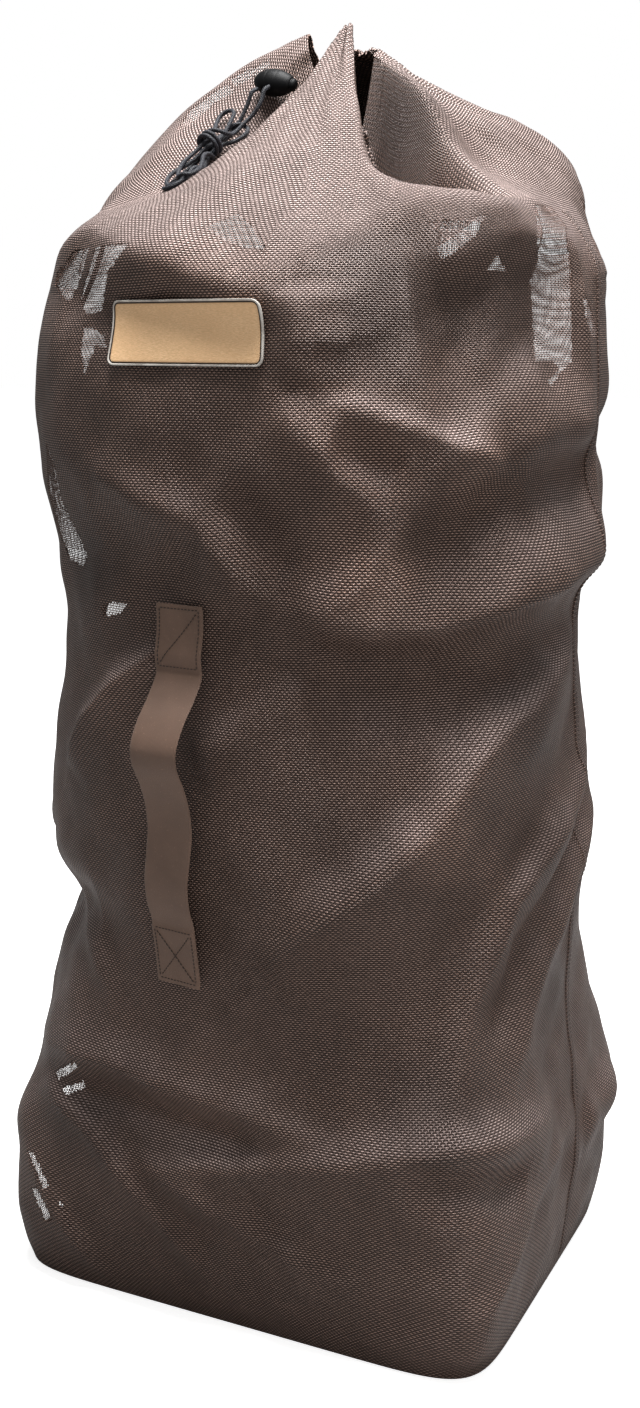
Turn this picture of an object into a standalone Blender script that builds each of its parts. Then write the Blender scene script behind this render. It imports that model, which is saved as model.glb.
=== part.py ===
"""A tall drawstring bag of woven mesh cloth, standing full on its flat base.

Metres, +Z up. The origin is the centre of the base on the floor. The front, with the grab handle and
the patch, faces -Y, and the shoulder straps are on the back. Angles are in degrees around the bag:
0 is the front, 90 is the +X side and 180 is the back.
"""
import math
from collections import namedtuple

import bmesh
import bpy
import numpy as np
from mathutils import Vector
from mathutils.bvhtree import BVHTree

# Cloth and clearances
WALL = 0.002
GAP = 0.0003
BASE_THICKNESS = 0.003
BASE_INSET_SHARE = 1.25         # leaves a little more room in the corners
CHART_RADIUS = 0.25             # turns an angle into a length along the cloth, for the folds
FOLD_FREE = 0.03                # the folds fade out over this height above the base
COLUMNS = 56
COLUMN_CROWDING = 17.0          # degrees; draws the columns together towards the gathered front
CROWDED_ANGLE = 36.0
BODY_STEP = 0.040
CROWN_STEP = 0.020
ANGLE_STEP = 0.25               # the normals are taken over this angle and this height
UP_STEP = 0.002

# Webbing, patch, toggle and cord
NOMINAL_RADIUS = 0.22           # pieces are placed at this radius and then seated on the cloth
SEAT_SAMPLES = (7, 5)
WEBBING_WIDTH = 0.045
WEBBING_THICKNESS = 0.003
STRAP_WIDTH = 0.045
PATCH_SIZE = (0.142, 0.050)
PATCH_CORNER = 0.006
PATCH_THICKNESS = 0.0025
PATCH_COLUMNS = 10
PATCH_ROWS = 5
PATCH_PLACE = (-2.0, 0.868)     # angle, height
CORD_DIAMETER = 0.0035
LOCK_SIZE = (0.046, 0.025, 0.020)
LOCK_PLACE = (-55.0, 1.163)     # angle, distance up the cloth
LOCK_OUTWARD = (0.10, -0.80, 0.59)
LOCK_AXIS = (0.86, 0.34, -0.40)
LOCK_REACH = 0.04
HANK_FROM = (-46.0, 1.122)      # angle, distance up the cloth, of the bundle's two ends
HANK_TO = (-36.5, 1.036)
HANK_WIDTH = 0.032
HANK_HEIGHT = 0.018
HANK_EDGE_HEIGHT = 0.008
HANK_END_SHARE = 0.25           # how full the bundle's two ends are
HANK_ROWS = 11
HANK_COLUMNS = 7
HANK_SEAT_SHARE = 1 / 12
STRAND_SPREAD = 0.0032          # half the distance between the two strands at the bundle
CORD_CLEARANCE = 0.0008
CORD_LEAD = 0.006               # the cord runs straight this far at each end
CORD_END_GAP = 0.0006
CORD_STEP = 0.008

Section = namedtuple("Section", "cloth_up height half_width half_depth squareness shift_x shift_y")
SECTIONS = [
    Section(0.000, 0.000, 0.236, 0.190, 9.0, 0.000, 0.000),
    Section(0.030, 0.029, 0.243, 0.198, 8.5, 0.000, 0.000),
    Section(0.110, 0.108, 0.248, 0.208, 7.0, 0.000, 0.000),
    Section(0.190, 0.187, 0.246, 0.212, 6.0, 0.000, 0.000),
    Section(0.250, 0.245, 0.238, 0.210, 4.0, 0.002, 0.000),
    Section(0.330, 0.323, 0.234, 0.210, 2.7, 0.004, 0.000),
    Section(0.430, 0.421, 0.242, 0.222, 2.5, 0.002, 0.000),
    Section(0.540, 0.529, 0.234, 0.220, 2.4, 0.003, 0.000),
    Section(0.630, 0.617, 0.226, 0.216, 2.3, 0.003, 0.000),
    Section(0.720, 0.706, 0.240, 0.226, 2.3, 0.006, 0.000),
    Section(0.810, 0.795, 0.246, 0.232, 2.3, 0.002, 0.000),
    Section(0.890, 0.872, 0.245, 0.231, 2.2, 0.004, 0.000),
    Section(0.960, 0.930, 0.231, 0.221, 2.1, 0.010, 0.006),
]

# The gathered crown: each lobe is a ridge or a valley of the gathers, measured from the neck's
# centre as (outward distance, height) at the brow, the dip behind it and the neck, and as
# (outward distance, height, twist in degrees) at the rim, where the gathers turn aside.
NECK = (0.025, 0.012)
CROWN_UP = (1.035, 1.090, 1.145, 1.200)
Lobe = namedtuple("Lobe", "angle brow dip neck rim")
CROWN = [
    Lobe(-86, (0.205, 1.009), (0.153, 1.060), (0.093, 1.098), (0.040, 1.119, 0)),
    Lobe(-59, (0.200, 0.985), (0.150, 1.028), (0.085, 1.064), (0.036, 1.096, 0)),
    Lobe(-36, (0.185, 0.972), (0.136, 1.000), (0.074, 1.030), (0.026, 1.062, 0)),
    Lobe(-12, (0.168, 0.995), (0.116, 1.030), (0.064, 1.072), (0.018, 1.115, 0)),
    Lobe(8, (0.172, 0.988), (0.123, 1.030), (0.070, 1.072), (0.016, 1.120, 0)),
    Lobe(26, (0.175, 0.984), (0.130, 1.027), (0.078, 1.071), (0.016, 1.121, 0)),
    Lobe(36, (0.190, 0.974), (0.112, 0.950), (0.050, 0.970), (0.016, 1.040, 5)),
    Lobe(59, (0.193, 0.962), (0.112, 0.935), (0.064, 0.965), (0.014, 1.035, 10)),
    Lobe(72, (0.184, 0.966), (0.120, 1.010), (0.074, 1.066), (0.018, 1.100, 30)),
    Lobe(92, (0.170, 0.976), (0.124, 1.004), (0.081, 1.054), (0.024, 1.104, 55)),
    Lobe(112, (0.183, 0.990), (0.138, 1.028), (0.083, 1.062), (0.028, 1.108, 58)),
    Lobe(139, (0.213, 1.014), (0.161, 1.051), (0.101, 1.069), (0.034, 1.106, 45)),
    Lobe(171, (0.190, 1.008), (0.140, 1.044), (0.090, 1.082), (0.040, 1.108, 28)),
    Lobe(198, (0.180, 0.992), (0.132, 1.030), (0.085, 1.072), (0.044, 1.110, 16)),
    Lobe(221, (0.176, 0.985), (0.125, 1.008), (0.070, 1.038), (0.030, 1.075, 10)),
    Lobe(248, (0.190, 0.992), (0.138, 1.024), (0.085, 1.058), (0.040, 1.095, 0)),
]

# Folds and dents: how far the cloth stands out (or in, below 0), how wide the fold is above and
# below its line, how rounded it is, and the line itself as (angle, distance up the cloth).
Fold = namedtuple("Fold", "name rise above below roundness line")
FOLDS = [
    Fold("shoulder", 0.012, 0.044, 0.024, 1.6,
         ((-62, 0.94), (-40, 0.985), (-13, 0.95), (6, 0.924), (18, 0.915))),
    Fold("tongue", 0.010, 0.042, 0.022, 1.8, ((20, 0.925), (21, 0.885), (20, 0.845))),
    Fold("under_shoulder", -0.010, 0.020, 0.050, 2.0, ((-40, 0.92), (-10, 0.90), (16, 0.88))),
    Fold("front_crest", 0.010, 0.018, 0.020, 1.8, ((27, 1.045), (44, 1.037), (62, 1.033), (86, 1.033))),
    Fold("right_hollow", -0.026, 0.050, 0.075, 3.0, ((88, 0.93), (66, 0.915), (52, 0.90), (42, 0.89))),
    Fold("front_ridge", 0.012, 0.020, 0.026, 1.7, ((17, 0.832), (23, 0.803), (30, 0.772), (38, 0.745))),
    Fold("front_rib", 0.012, 0.011, 0.034, 1.4,
         ((25, 0.836), (32, 0.826), (40, 0.814), (49, 0.80), (60, 0.78))),
    Fold("front_rib_shade", -0.008, 0.014, 0.022, 2.0, ((27, 0.806), (40, 0.788))),
    Fold("blade", 0.010, 0.018, 0.030, 1.6, ((40, 0.75), (33, 0.708), (22, 0.665))),
    Fold("right_roll", 0.006, 0.026, 0.024, 1.6, ((96, 0.80), (80, 0.812), (62, 0.80))),
    Fold("right_roll_shade", -0.022, 0.022, 0.045, 2.0,
         ((100, 0.775), (68, 0.762), (52, 0.742), (38, 0.705))),
    Fold("waist_ledge", 0.022, 0.042, 0.020, 1.5,
         ((18, 0.672), (34, 0.657), (46, 0.66), (61, 0.675), (84, 0.692), (108, 0.70))),
    Fold("waist_under", -0.012, 0.018, 0.055, 2.0, ((22, 0.63), (40, 0.624), (58, 0.612))),
    Fold("left_slant", 0.014, 0.022, 0.030, 1.6,
         ((-26, 0.775), (-11, 0.753), (0, 0.738), (6, 0.701), (9, 0.66))),
    Fold("left_pocket", -0.010, 0.022, 0.024, 2.0, ((6, 0.768), (13, 0.73), (19, 0.70))),
    Fold("handle_hollow", -0.010, 0.045, 0.030, 2.0, ((-50, 0.70), (-22, 0.70), (0, 0.69))),
    Fold("left_arc", 0.016, 0.014, 0.024, 1.4, ((-10, 0.635), (-23, 0.592), (-32, 0.557), (-40, 0.51))),
    Fold("beside_handle", 0.010, 0.026, 0.020, 1.6, ((-3, 0.535), (10, 0.571), (23, 0.61))),
    Fold("long_slant", 0.022, 0.022, 0.045, 1.6,
         ((96, 0.63), (65, 0.571), (54, 0.541), (46, 0.491), (40, 0.467), (28, 0.42), (12, 0.355))),
    Fold("side_rib_high", 0.013, 0.018, 0.025, 1.6,
         ((106, 0.515), (93, 0.485), (75, 0.45), (64, 0.419), (54, 0.32), (50, 0.26))),
    Fold("side_rib_low", 0.010, 0.018, 0.022, 1.6, ((112, 0.46), (92, 0.40), (76, 0.33), (66, 0.26))),
    Fold("side_gully", -0.010, 0.020, 0.020, 2.0, ((108, 0.49), (86, 0.43), (70, 0.37), (60, 0.29))),
    Fold("left_short", 0.007, 0.016, 0.018, 1.6, ((-52, 0.40), (-36, 0.345), (-26, 0.30))),
    Fold("lower_left_rib", 0.016, 0.030, 0.018, 1.4,
         ((-50, 0.238), (-27, 0.246), (2, 0.23), (26, 0.216))),
    Fold("lower_left_shade", -0.010, 0.018, 0.020, 2.0, ((-40, 0.215), (-14, 0.205), (12, 0.195))),
    Fold("lower_rib", 0.015, 0.020, 0.035, 1.5,
         ((-20, 0.15), (5, 0.172), (28, 0.196), (50, 0.218), (80, 0.195))),
    Fold("lower_rib_shade", -0.014, 0.014, 0.022, 2.0, ((40, 0.20), (52, 0.188), (66, 0.165))),
    Fold("corner_slant_high", 0.011, 0.014, 0.020, 1.5,
         ((-44, 0.21), (-31, 0.174), (-20, 0.124), (-5, 0.06))),
    Fold("corner_slant_mid", 0.008, 0.014, 0.020, 1.5,
         ((-20, 0.16), (-5, 0.135), (14, 0.104), (34, 0.08))),
    Fold("corner_slant_low", 0.006, 0.012, 0.016, 1.5, ((-46, 0.13), (-38, 0.06), (-32, 0.01))),
    Fold("front_corner", 0.008, 0.025, 0.020, 1.4, ((51, 0.00), (54, 0.07), (68, 0.13), (96, 0.17))),
    Fold("right_bulge", 0.014, 0.030, 0.030, 2.0, ((102, 0.14), (122, 0.145))),
    Fold("left_low_dent", -0.015, 0.060, 0.050, 2.0, ((-104, 0.20), (-36, 0.205))),
    Fold("left_notch_high", -0.014, 0.050, 0.050, 2.0, ((-95, 0.67), (-62, 0.68))),
    Fold("left_puff", 0.006, 0.030, 0.026, 2.0, ((-92, 0.445), (-60, 0.435))),
    Fold("left_notch_low", -0.026, 0.030, 0.032, 2.0, ((-104, 0.385), (-33, 0.375))),
    Fold("right_notch_high", -0.010, 0.022, 0.022, 2.0, ((100, 0.795), (126, 0.80))),
    Fold("right_notch_low", -0.010, 0.030, 0.035, 2.0, ((112, 0.40), (140, 0.39))),
    Fold("back_shoulder", 0.010, 0.040, 0.022, 1.6, ((142, 0.95), (170, 0.93), (196, 0.94), (226, 0.97))),
    Fold("back_slant_high", 0.012, 0.030, 0.040, 1.6, ((138, 0.84), (164, 0.79), (196, 0.76), (226, 0.70))),
    Fold("back_hollow", -0.012, 0.040, 0.040, 2.0, ((150, 0.72), (176, 0.70), (200, 0.68))),
    Fold("back_ledge", 0.012, 0.045, 0.020, 1.4, ((232, 0.60), (206, 0.58), (182, 0.60), (150, 0.64))),
    Fold("back_slant_low", 0.012, 0.030, 0.040, 1.6, ((234, 0.50), (208, 0.45), (180, 0.38), (156, 0.34))),
    Fold("back_foot_rib", 0.011, 0.028, 0.020, 1.5, ((136, 0.23), (164, 0.215), (196, 0.22), (228, 0.24))),
    Fold("left_side_rib", 0.006, 0.024, 0.024, 1.6, ((-122, 0.80), (-104, 0.76), (-88, 0.74))),
    Fold("left_side_slant", 0.008, 0.024, 0.030, 1.6, ((-128, 0.58), (-112, 0.55), (-96, 0.56))),
    Fold("left_side_foot", 0.009, 0.022, 0.020, 1.5, ((-124, 0.16), (-98, 0.145), (-74, 0.15))),
]

# Straps along the cloth: rows from the top end to the bottom end.
StrapRow = namedtuple("StrapRow", "angle height standoff")
GRAB_HANDLE = [
    StrapRow(-4.8, 0.656, 0.000),
    StrapRow(-4.8, 0.636, 0.000),
    StrapRow(-5.0, 0.616, 0.000),
    StrapRow(-4.8, 0.599, 0.001),
    StrapRow(-4.8, 0.583, 0.013),
    StrapRow(-5.0, 0.566, 0.027),
    StrapRow(-5.2, 0.548, 0.034),
    StrapRow(-5.4, 0.530, 0.032),
    StrapRow(-5.6, 0.512, 0.024),
    StrapRow(-5.8, 0.492, 0.015),
    StrapRow(-6.0, 0.470, 0.010),
    StrapRow(-6.7, 0.446, 0.009),
    StrapRow(-7.4, 0.422, 0.009),
    StrapRow(-7.6, 0.402, 0.006),
    StrapRow(-7.8, 0.386, 0.001),
    StrapRow(-7.8, 0.368, 0.000),
    StrapRow(-7.8, 0.348, 0.000),
    StrapRow(-7.8, 0.328, 0.000),
]
SHOULDER_STRAP = [
    StrapRow(164.0, 0.872, 0.000),
    StrapRow(164.0, 0.850, 0.000),
    StrapRow(163.8, 0.826, 0.000),
    StrapRow(163.5, 0.804, 0.003),
    StrapRow(163.0, 0.776, 0.016),
    StrapRow(162.5, 0.740, 0.028),
    StrapRow(162.0, 0.690, 0.036),
    StrapRow(161.0, 0.630, 0.040),
    StrapRow(160.0, 0.560, 0.041),
    StrapRow(159.0, 0.490, 0.041),
    StrapRow(157.5, 0.420, 0.042),
    StrapRow(156.0, 0.355, 0.040),
    StrapRow(154.5, 0.300, 0.032),
    StrapRow(153.0, 0.255, 0.018),
    StrapRow(152.0, 0.222, 0.005),
    StrapRow(151.5, 0.196, 0.000),
    StrapRow(151.5, 0.172, 0.000),
    StrapRow(151.5, 0.148, 0.000),
]

# The two strands of the drawstring. Each leaves the toggle at a share of its half length and a
# turn in degrees from its lower edge to its face, and then passes places on the cloth, given as
# (angle, distance up the cloth, lift).
Strand = namedtuple("Strand", "name side leaves places")
STRANDS = [
    Strand("draw_cord_a", -1, (-0.50, 38.0), ((-54.0, 1.134, 0.001),)),
    Strand("draw_cord_b", 1, (0.00, 38.0), ((-48.0, 1.136, 0.001),)),
]


def clear_scene():
    for item in list(bpy.data.objects):
        bpy.data.objects.remove(item)


def material(name, color, roughness, metallic=0.0):
    made = bpy.data.materials.new(name)
    made.use_nodes = True
    shader = made.node_tree.nodes["Principled BSDF"]
    shader.inputs["Base Color"].default_value = (*color, 1.0)
    shader.inputs["Roughness"].default_value = roughness
    shader.inputs["Metallic"].default_value = metallic
    made.diffuse_color = (*color, 1.0)
    return made


def mesh_object(name, points, faces, look):
    mesh = bpy.data.meshes.new(name)
    mesh.from_pydata([tuple(point) for point in points], [], faces)
    mesh.shade_smooth()
    mesh.set_sharp_from_angle(angle=math.radians(50))
    mesh.materials.append(look)
    made = bpy.data.objects.new(name, mesh)
    bpy.context.scene.collection.objects.link(made)
    return made


# The form of the bag

def knot_slopes(values, knots):
    """Slopes of a smooth curve through values, whose first axis follows the knots."""
    steps = np.diff(knots).reshape((-1,) + (1,) * (values.ndim - 1))
    rates = np.diff(values, axis=0) / steps
    inner = (rates[:-1] * steps[1:] + rates[1:] * steps[:-1]) / (steps[1:] + steps[:-1])
    return np.concatenate([rates[:1], inner, rates[-1:]])


def blend_knots(values, slopes, knots, at):
    """The smooth curve's value at each place in at: a cubic piece between two knots."""
    index = np.clip(np.searchsorted(knots, at) - 1, 0, len(knots) - 2)
    step = knots[index + 1] - knots[index]
    t = (at - knots[index]) / step
    shape = t.shape + (1,) * (values.ndim - 1)
    t = t.reshape(shape)
    step = step.reshape(shape)
    from_value = (2 * t**3 - 3 * t**2 + 1) * values[index]
    from_slope = (t**3 - 2 * t**2 + t) * step * slopes[index]
    to_value = (3 * t**2 - 2 * t**3) * values[index + 1]
    to_slope = (t**3 - t**2) * step * slopes[index + 1]
    return from_value + from_slope + to_value + to_slope


def limited_slopes(values, knots):
    """Slopes of a smooth curve through values that never swings past them between two knots."""
    steps = np.diff(knots).reshape((-1,) + (1,) * (values.ndim - 1))
    rates = np.diff(values, axis=0) / steps
    before = rates[:-1]
    after = rates[1:]
    same = before * after > 0
    early = 2 * steps[1:] + steps[:-1]
    late = steps[1:] + 2 * steps[:-1]
    early = early / np.where(same, before, 1)
    late = late / np.where(same, after, 1)
    inner = np.where(same, 3 * (steps[1:] + steps[:-1]) / np.where(same, early + late, 1), 0)
    return np.concatenate([rates[:1], inner, rates[-1:]])


def crown_rings(angles):
    """Points of the four crown rings at each angle: axes angle, ring, x y z."""
    turns = np.array([lobe.angle for lobe in CROWN], float)
    out = np.array([[spot[0] for spot in lobe[1:]] for lobe in CROWN])
    height = np.array([[spot[1] for spot in lobe[1:]] for lobe in CROWN])
    lean = np.repeat(turns[:, None], len(CROWN_UP), axis=1)
    lean[:, -1] += [lobe.rim[2] for lobe in CROWN]
    rings = np.stack([out, height, lean], -1)
    whole = (0, 0, 360)
    around = np.concatenate([turns[-3:] - 360, turns, turns[:3] + 360])
    rings = np.concatenate([rings[-3:] - whole, rings, rings[:3] + whole])
    first = turns[0]
    wrapped = first + (np.asarray(angles, float) - first) % 360
    rings = blend_knots(rings, limited_slopes(rings, around), around, wrapped)
    out, height, lean = np.moveaxis(rings, -1, 0)
    x = NECK[0] + out * np.sin(np.radians(lean))
    y = NECK[1] - out * np.cos(np.radians(lean))
    return np.stack([x, y, height], -1)


def section_rings(angles):
    """Points of the body's sections at each angle: axes angle, ring, x y z."""
    rows = np.array(SECTIONS, float)
    height, wide, deep, square, shift_x, shift_y = rows[:, 1:].T
    turn = np.radians(np.asarray(angles, float))[:, None]
    reach = np.abs(np.sin(turn) / wide) ** square + np.abs(np.cos(turn) / deep) ** square
    reach = reach ** (-1 / square)
    x = shift_x + reach * np.sin(turn)
    y = shift_y - reach * np.cos(turn)
    return np.stack([x, y, height + 0 * reach], -1)


def smooth_cloth(angles, ups):
    """The bag without its folds: axes up, angle, x y z."""
    knots = np.array([section.cloth_up for section in SECTIONS] + list(CROWN_UP))
    rings = np.concatenate([section_rings(angles), crown_rings(angles)], axis=1)
    rings = np.swapaxes(rings, 0, 1)
    return blend_knots(rings, knot_slopes(rings, knots), knots, np.asarray(ups, float))


def cloth_normals(angles, ups):
    top = CROWN_UP[-1]
    angles = np.asarray(angles, float)
    ups = np.asarray(ups, float)
    along = smooth_cloth(angles + ANGLE_STEP, ups) - smooth_cloth(angles - ANGLE_STEP, ups)
    above = smooth_cloth(angles, np.minimum(ups + UP_STEP, top))
    below = smooth_cloth(angles, np.maximum(ups - UP_STEP, 0))
    rising = above - below
    normals = np.cross(along, rising)
    return normals / np.linalg.norm(normals, axis=-1, keepdims=True)


def fold_rise(fold, angles, ups):
    """How far one fold lifts the cloth at each angle and distance up."""
    scale = math.radians(CHART_RADIUS)
    line = np.array(fold.line, float) * (scale, 1.0)
    middle = line[:, 0].mean()
    whole = 360 * scale
    across = middle + (scale * angles - middle + whole / 2) % whole - whole / 2
    rightwards = 1 if line[-1, 0] >= line[0, 0] else -1
    steps = np.diff(line, axis=0)
    lengths = np.hypot(steps[:, 0], steps[:, 1])
    starts = np.concatenate([[0], np.cumsum(lengths)])
    nearest = np.full(across.shape, np.inf)
    along = np.zeros(across.shape)
    for corner, step, length, start in zip(line, steps, lengths, starts):
        share = ((across - corner[0]) * step[0] + (ups - corner[1]) * step[1]) / length**2
        share = np.clip(share, 0, 1)
        off_x = across - corner[0] - share * step[0]
        off_y = ups - corner[1] - share * step[1]
        upper = (step[0] * off_y - step[1] * off_x) * rightwards > 0
        distance = np.hypot(off_x, off_y) / np.where(upper, fold.above, fold.below)
        along = np.where(distance < nearest, (start + share * length) / starts[-1], along)
        nearest = np.minimum(nearest, distance)
    fade = 1 - 0.8 * (2 * along - 1) ** 4
    return fold.rise * fade * np.exp(-nearest**fold.roundness)


def bag_cloth(angles, ups):
    """The outer face of the bag with its folds: axes up, angle, x y z."""
    angles = np.asarray(angles, float)
    ups = np.asarray(ups, float)
    grid_angles, grid_ups = np.meshgrid(angles, ups)
    rise = sum(fold_rise(fold, grid_angles, grid_ups) for fold in FOLDS)
    near_base = np.clip(grid_ups / FOLD_FREE, 0, 1)
    rise = rise * near_base**2 * (3 - 2 * near_base)
    return smooth_cloth(angles, ups) + cloth_normals(angles, ups) * rise[..., None]


def column_angles():
    even = np.arange(COLUMNS) * 360 / COLUMNS
    return even - COLUMN_CROWDING * np.sin(np.radians(even - CROWDED_ANGLE))


def ring_faces(columns, rows):
    faces = []
    for row in range(rows - 1):
        for column in range(columns):
            after = (column + 1) % columns
            low = row * columns
            high = low + columns
            faces.append((low + column, low + after, high + after, high + column))
    return faces


def make_body():
    last = SECTIONS[-1].cloth_up
    body_rows = np.linspace(0, last, round(last / BODY_STEP) + 1)
    crown_rows = np.linspace(last, CROWN_UP[-1], round((CROWN_UP[-1] - last) / CROWN_STEP) + 1)
    ups = np.concatenate([body_rows, crown_rows[1:]])
    points = bag_cloth(column_angles(), ups).reshape(-1, 3)
    look = material("mesh_cloth", (0.082, 0.055, 0.047), 0.55)
    body = mesh_object("mesh_body", points, ring_faces(COLUMNS, len(ups)), look)
    wall = body.modifiers.new("wall", "SOLIDIFY")
    wall.thickness = WALL
    wall.offset = -1
    return body


def make_base():
    inset = WALL + 2 * GAP
    ring = section_rings(column_angles())[:, 0, :]
    reach = np.linalg.norm(ring[:, :2], axis=1, keepdims=True)
    edge = ring[:, :2] * (1 - inset / reach * BASE_INSET_SHARE)
    count = len(edge)
    low = [(x, y, 0.0) for x, y in edge]
    high = [(x, y, BASE_THICKNESS) for x, y in edge]
    faces = [tuple(range(count - 1, -1, -1)), tuple(range(count, 2 * count))]
    for index in range(count):
        after = (index + 1) % count
        faces.append((index, after, count + after, count + index))
    look = material("base_cloth", (0.045, 0.036, 0.032), 0.7)
    return mesh_object("base_panel", low + high, faces, look)


# Pieces that lie on the cloth

class ClothSeat:
    """Finds the highest cloth under a small piece, looking along the piece's own outward way."""

    def __init__(self, body):
        graph = bpy.context.evaluated_depsgraph_get()
        self.tree = BVHTree.FromObject(body, graph)

    def lift(self, centre, outward, reach=0.12):
        """Outward distance from centre to the cloth, or None where there is none."""
        start = centre + outward * reach
        hit = self.tree.ray_cast(start, -outward, 2 * reach)
        if hit[0] is None:
            return None
        return reach - hit[3]

    def highest(self, centre, outward, side, along, half_side, half_along):
        """The highest cloth over a small rectangle around centre."""
        lifts = []
        for i in np.linspace(-1, 1, SEAT_SAMPLES[0]):
            for j in np.linspace(-1, 1, SEAT_SAMPLES[1]):
                spot = centre + side * (half_side * i) + along * (half_along * j)
                lift = self.lift(spot, outward)
                if lift is not None:
                    lifts.append(lift)
        return max(lifts)


def around_vector(angle):
    turn = math.radians(angle)
    return Vector((math.sin(turn), -math.cos(turn), 0.0))


def tube_faces(rows, corners):
    """Faces of a closed bar whose cross-sections each have the same number of corners."""
    faces = [tuple(range(corners - 1, -1, -1))]
    for row in range(rows - 1):
        for corner in range(corners):
            after = (corner + 1) % corners
            low = row * corners
            high = low + corners
            faces.append((low + corner, low + after, high + after, high + corner))
    last = (rows - 1) * corners
    faces.append(tuple(range(last, last + corners)))
    return faces


def make_strap(name, seat, rows, width, look):
    up = Vector((0, 0, 1))
    points = []
    for index, row in enumerate(rows):
        outward = around_vector(row.angle)
        side = up.cross(outward)
        nominal = outward * NOMINAL_RADIUS + up * row.height
        before = rows[max(index - 1, 0)].height
        after = rows[min(index + 1, len(rows) - 1)].height
        reach = (before - after) / 2
        lift = seat.highest(nominal, outward, side, up, width / 2, reach)
        inner = nominal + outward * (lift + GAP + row.standoff)
        outer = inner + outward * WEBBING_THICKNESS
        for corner, across in ((inner, -1), (outer, -1), (outer, 1), (inner, 1)):
            points.append(corner + side * (across * width / 2))
    made = mesh_object(name, points, tube_faces(len(rows), 4), look)
    made.data.flip_normals()
    return made


def slab_faces(rows, per):
    """Faces of a slab whose under side and then top side are grids of rows by per points."""
    count = rows * per
    faces = []
    for row in range(rows - 1):
        for step in range(per - 1):
            corner = row * per + step
            quad = (corner, corner + per, corner + per + 1, corner + 1)
            faces.append(tuple(reversed(quad)))
            faces.append(tuple(point + count for point in quad))
    rim = [row * per for row in range(rows)] + [(rows - 1) * per + step for step in range(1, per)]
    rim += [row * per + per - 1 for row in range(rows - 2, -1, -1)] + list(range(per - 2, 0, -1))
    for here, there in zip(rim, rim[1:] + rim[:1]):
        faces.append((here, there, there + count, here + count))
    return faces


def make_patch(seat, look):
    width, height = PATCH_SIZE
    angle, centre_height = PATCH_PLACE
    outward = around_vector(angle)
    up = Vector((0, 0, 1))
    side = up.cross(outward)
    inner_edge = width / 2 - PATCH_CORNER
    corner_steps = [math.sin(math.radians(turn)) * PATCH_CORNER for turn in (45, 90)]
    straight = list(np.linspace(-inner_edge, inner_edge, PATCH_COLUMNS))
    columns = [-inner_edge - step for step in reversed(corner_steps)] + straight
    columns += [inner_edge + step for step in corner_steps]
    shares = np.linspace(-1, 1, PATCH_ROWS)
    reach_side = width / 2 / (PATCH_COLUMNS - 1)
    reach_up = height / 2 / (PATCH_ROWS - 1)
    inner = []
    outer = []
    for across in columns:
        past = max(0.0, abs(across) - inner_edge)
        drop = PATCH_CORNER - math.sqrt(max(0.0, PATCH_CORNER**2 - past**2))
        half = height / 2 - drop
        for share in shares:
            nominal = outward * NOMINAL_RADIUS + side * across + up * (centre_height + half * share)
            lift = seat.highest(nominal, outward, side, up, reach_side, reach_up)
            inner.append(nominal + outward * (lift + GAP))
            outer.append(nominal + outward * (lift + GAP + PATCH_THICKNESS))
    return mesh_object("label_patch", inner + outer, slab_faces(len(columns), len(shares)), look)


def cloth_place(place):
    """The point of the cloth, and its outward way, at an angle and a distance up the cloth."""
    angle, up = place
    point = bag_cloth([angle], [up])[0, 0]
    outward = cloth_normals([angle], [up])[0, 0]
    return Vector(point), Vector(outward)


def make_lock(seat, look):
    """An oval toggle set down on the cloth beside the mouth; returns its centre and its frame."""
    centre = cloth_place(LOCK_PLACE)[0]
    outward = Vector(LOCK_OUTWARD).normalized()
    axis = Vector(LOCK_AXIS)
    axis = (axis - outward * axis.dot(outward)).normalized()
    side = outward.cross(axis)
    shape = bmesh.new()
    bmesh.ops.create_uvsphere(shape, u_segments=16, v_segments=10, radius=0.5)
    for vert in shape.verts:
        x, y, z = vert.co
        vert.co = axis * (z * LOCK_SIZE[0]) + side * (y * LOCK_SIZE[1]) + outward * (x * LOCK_SIZE[2])
    drop = []
    for vert in shape.verts:
        lift = seat.lift(centre + vert.co, outward, LOCK_REACH)
        if lift is not None:
            drop.append(lift)
    centre = centre + outward * (max(drop) + GAP)
    for vert in shape.verts:
        vert.co += centre
    bmesh.ops.recalc_face_normals(shape, faces=shape.faces)
    mesh = bpy.data.meshes.new("cord_lock")
    shape.to_mesh(mesh)
    shape.free()
    mesh.shade_smooth()
    mesh.materials.append(look)
    lock = bpy.data.objects.new("cord_lock", mesh)
    bpy.context.scene.collection.objects.link(lock)
    return centre, axis, side, outward


def hank_frame():
    start = cloth_place(HANK_FROM)
    end = cloth_place(HANK_TO)
    along = (end[0] - start[0]).normalized()
    outward = start[1] + end[1]
    outward = (outward - along * outward.dot(along)).normalized()
    return start[0], along, outward.cross(along), outward, (end[0] - start[0]).length


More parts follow.
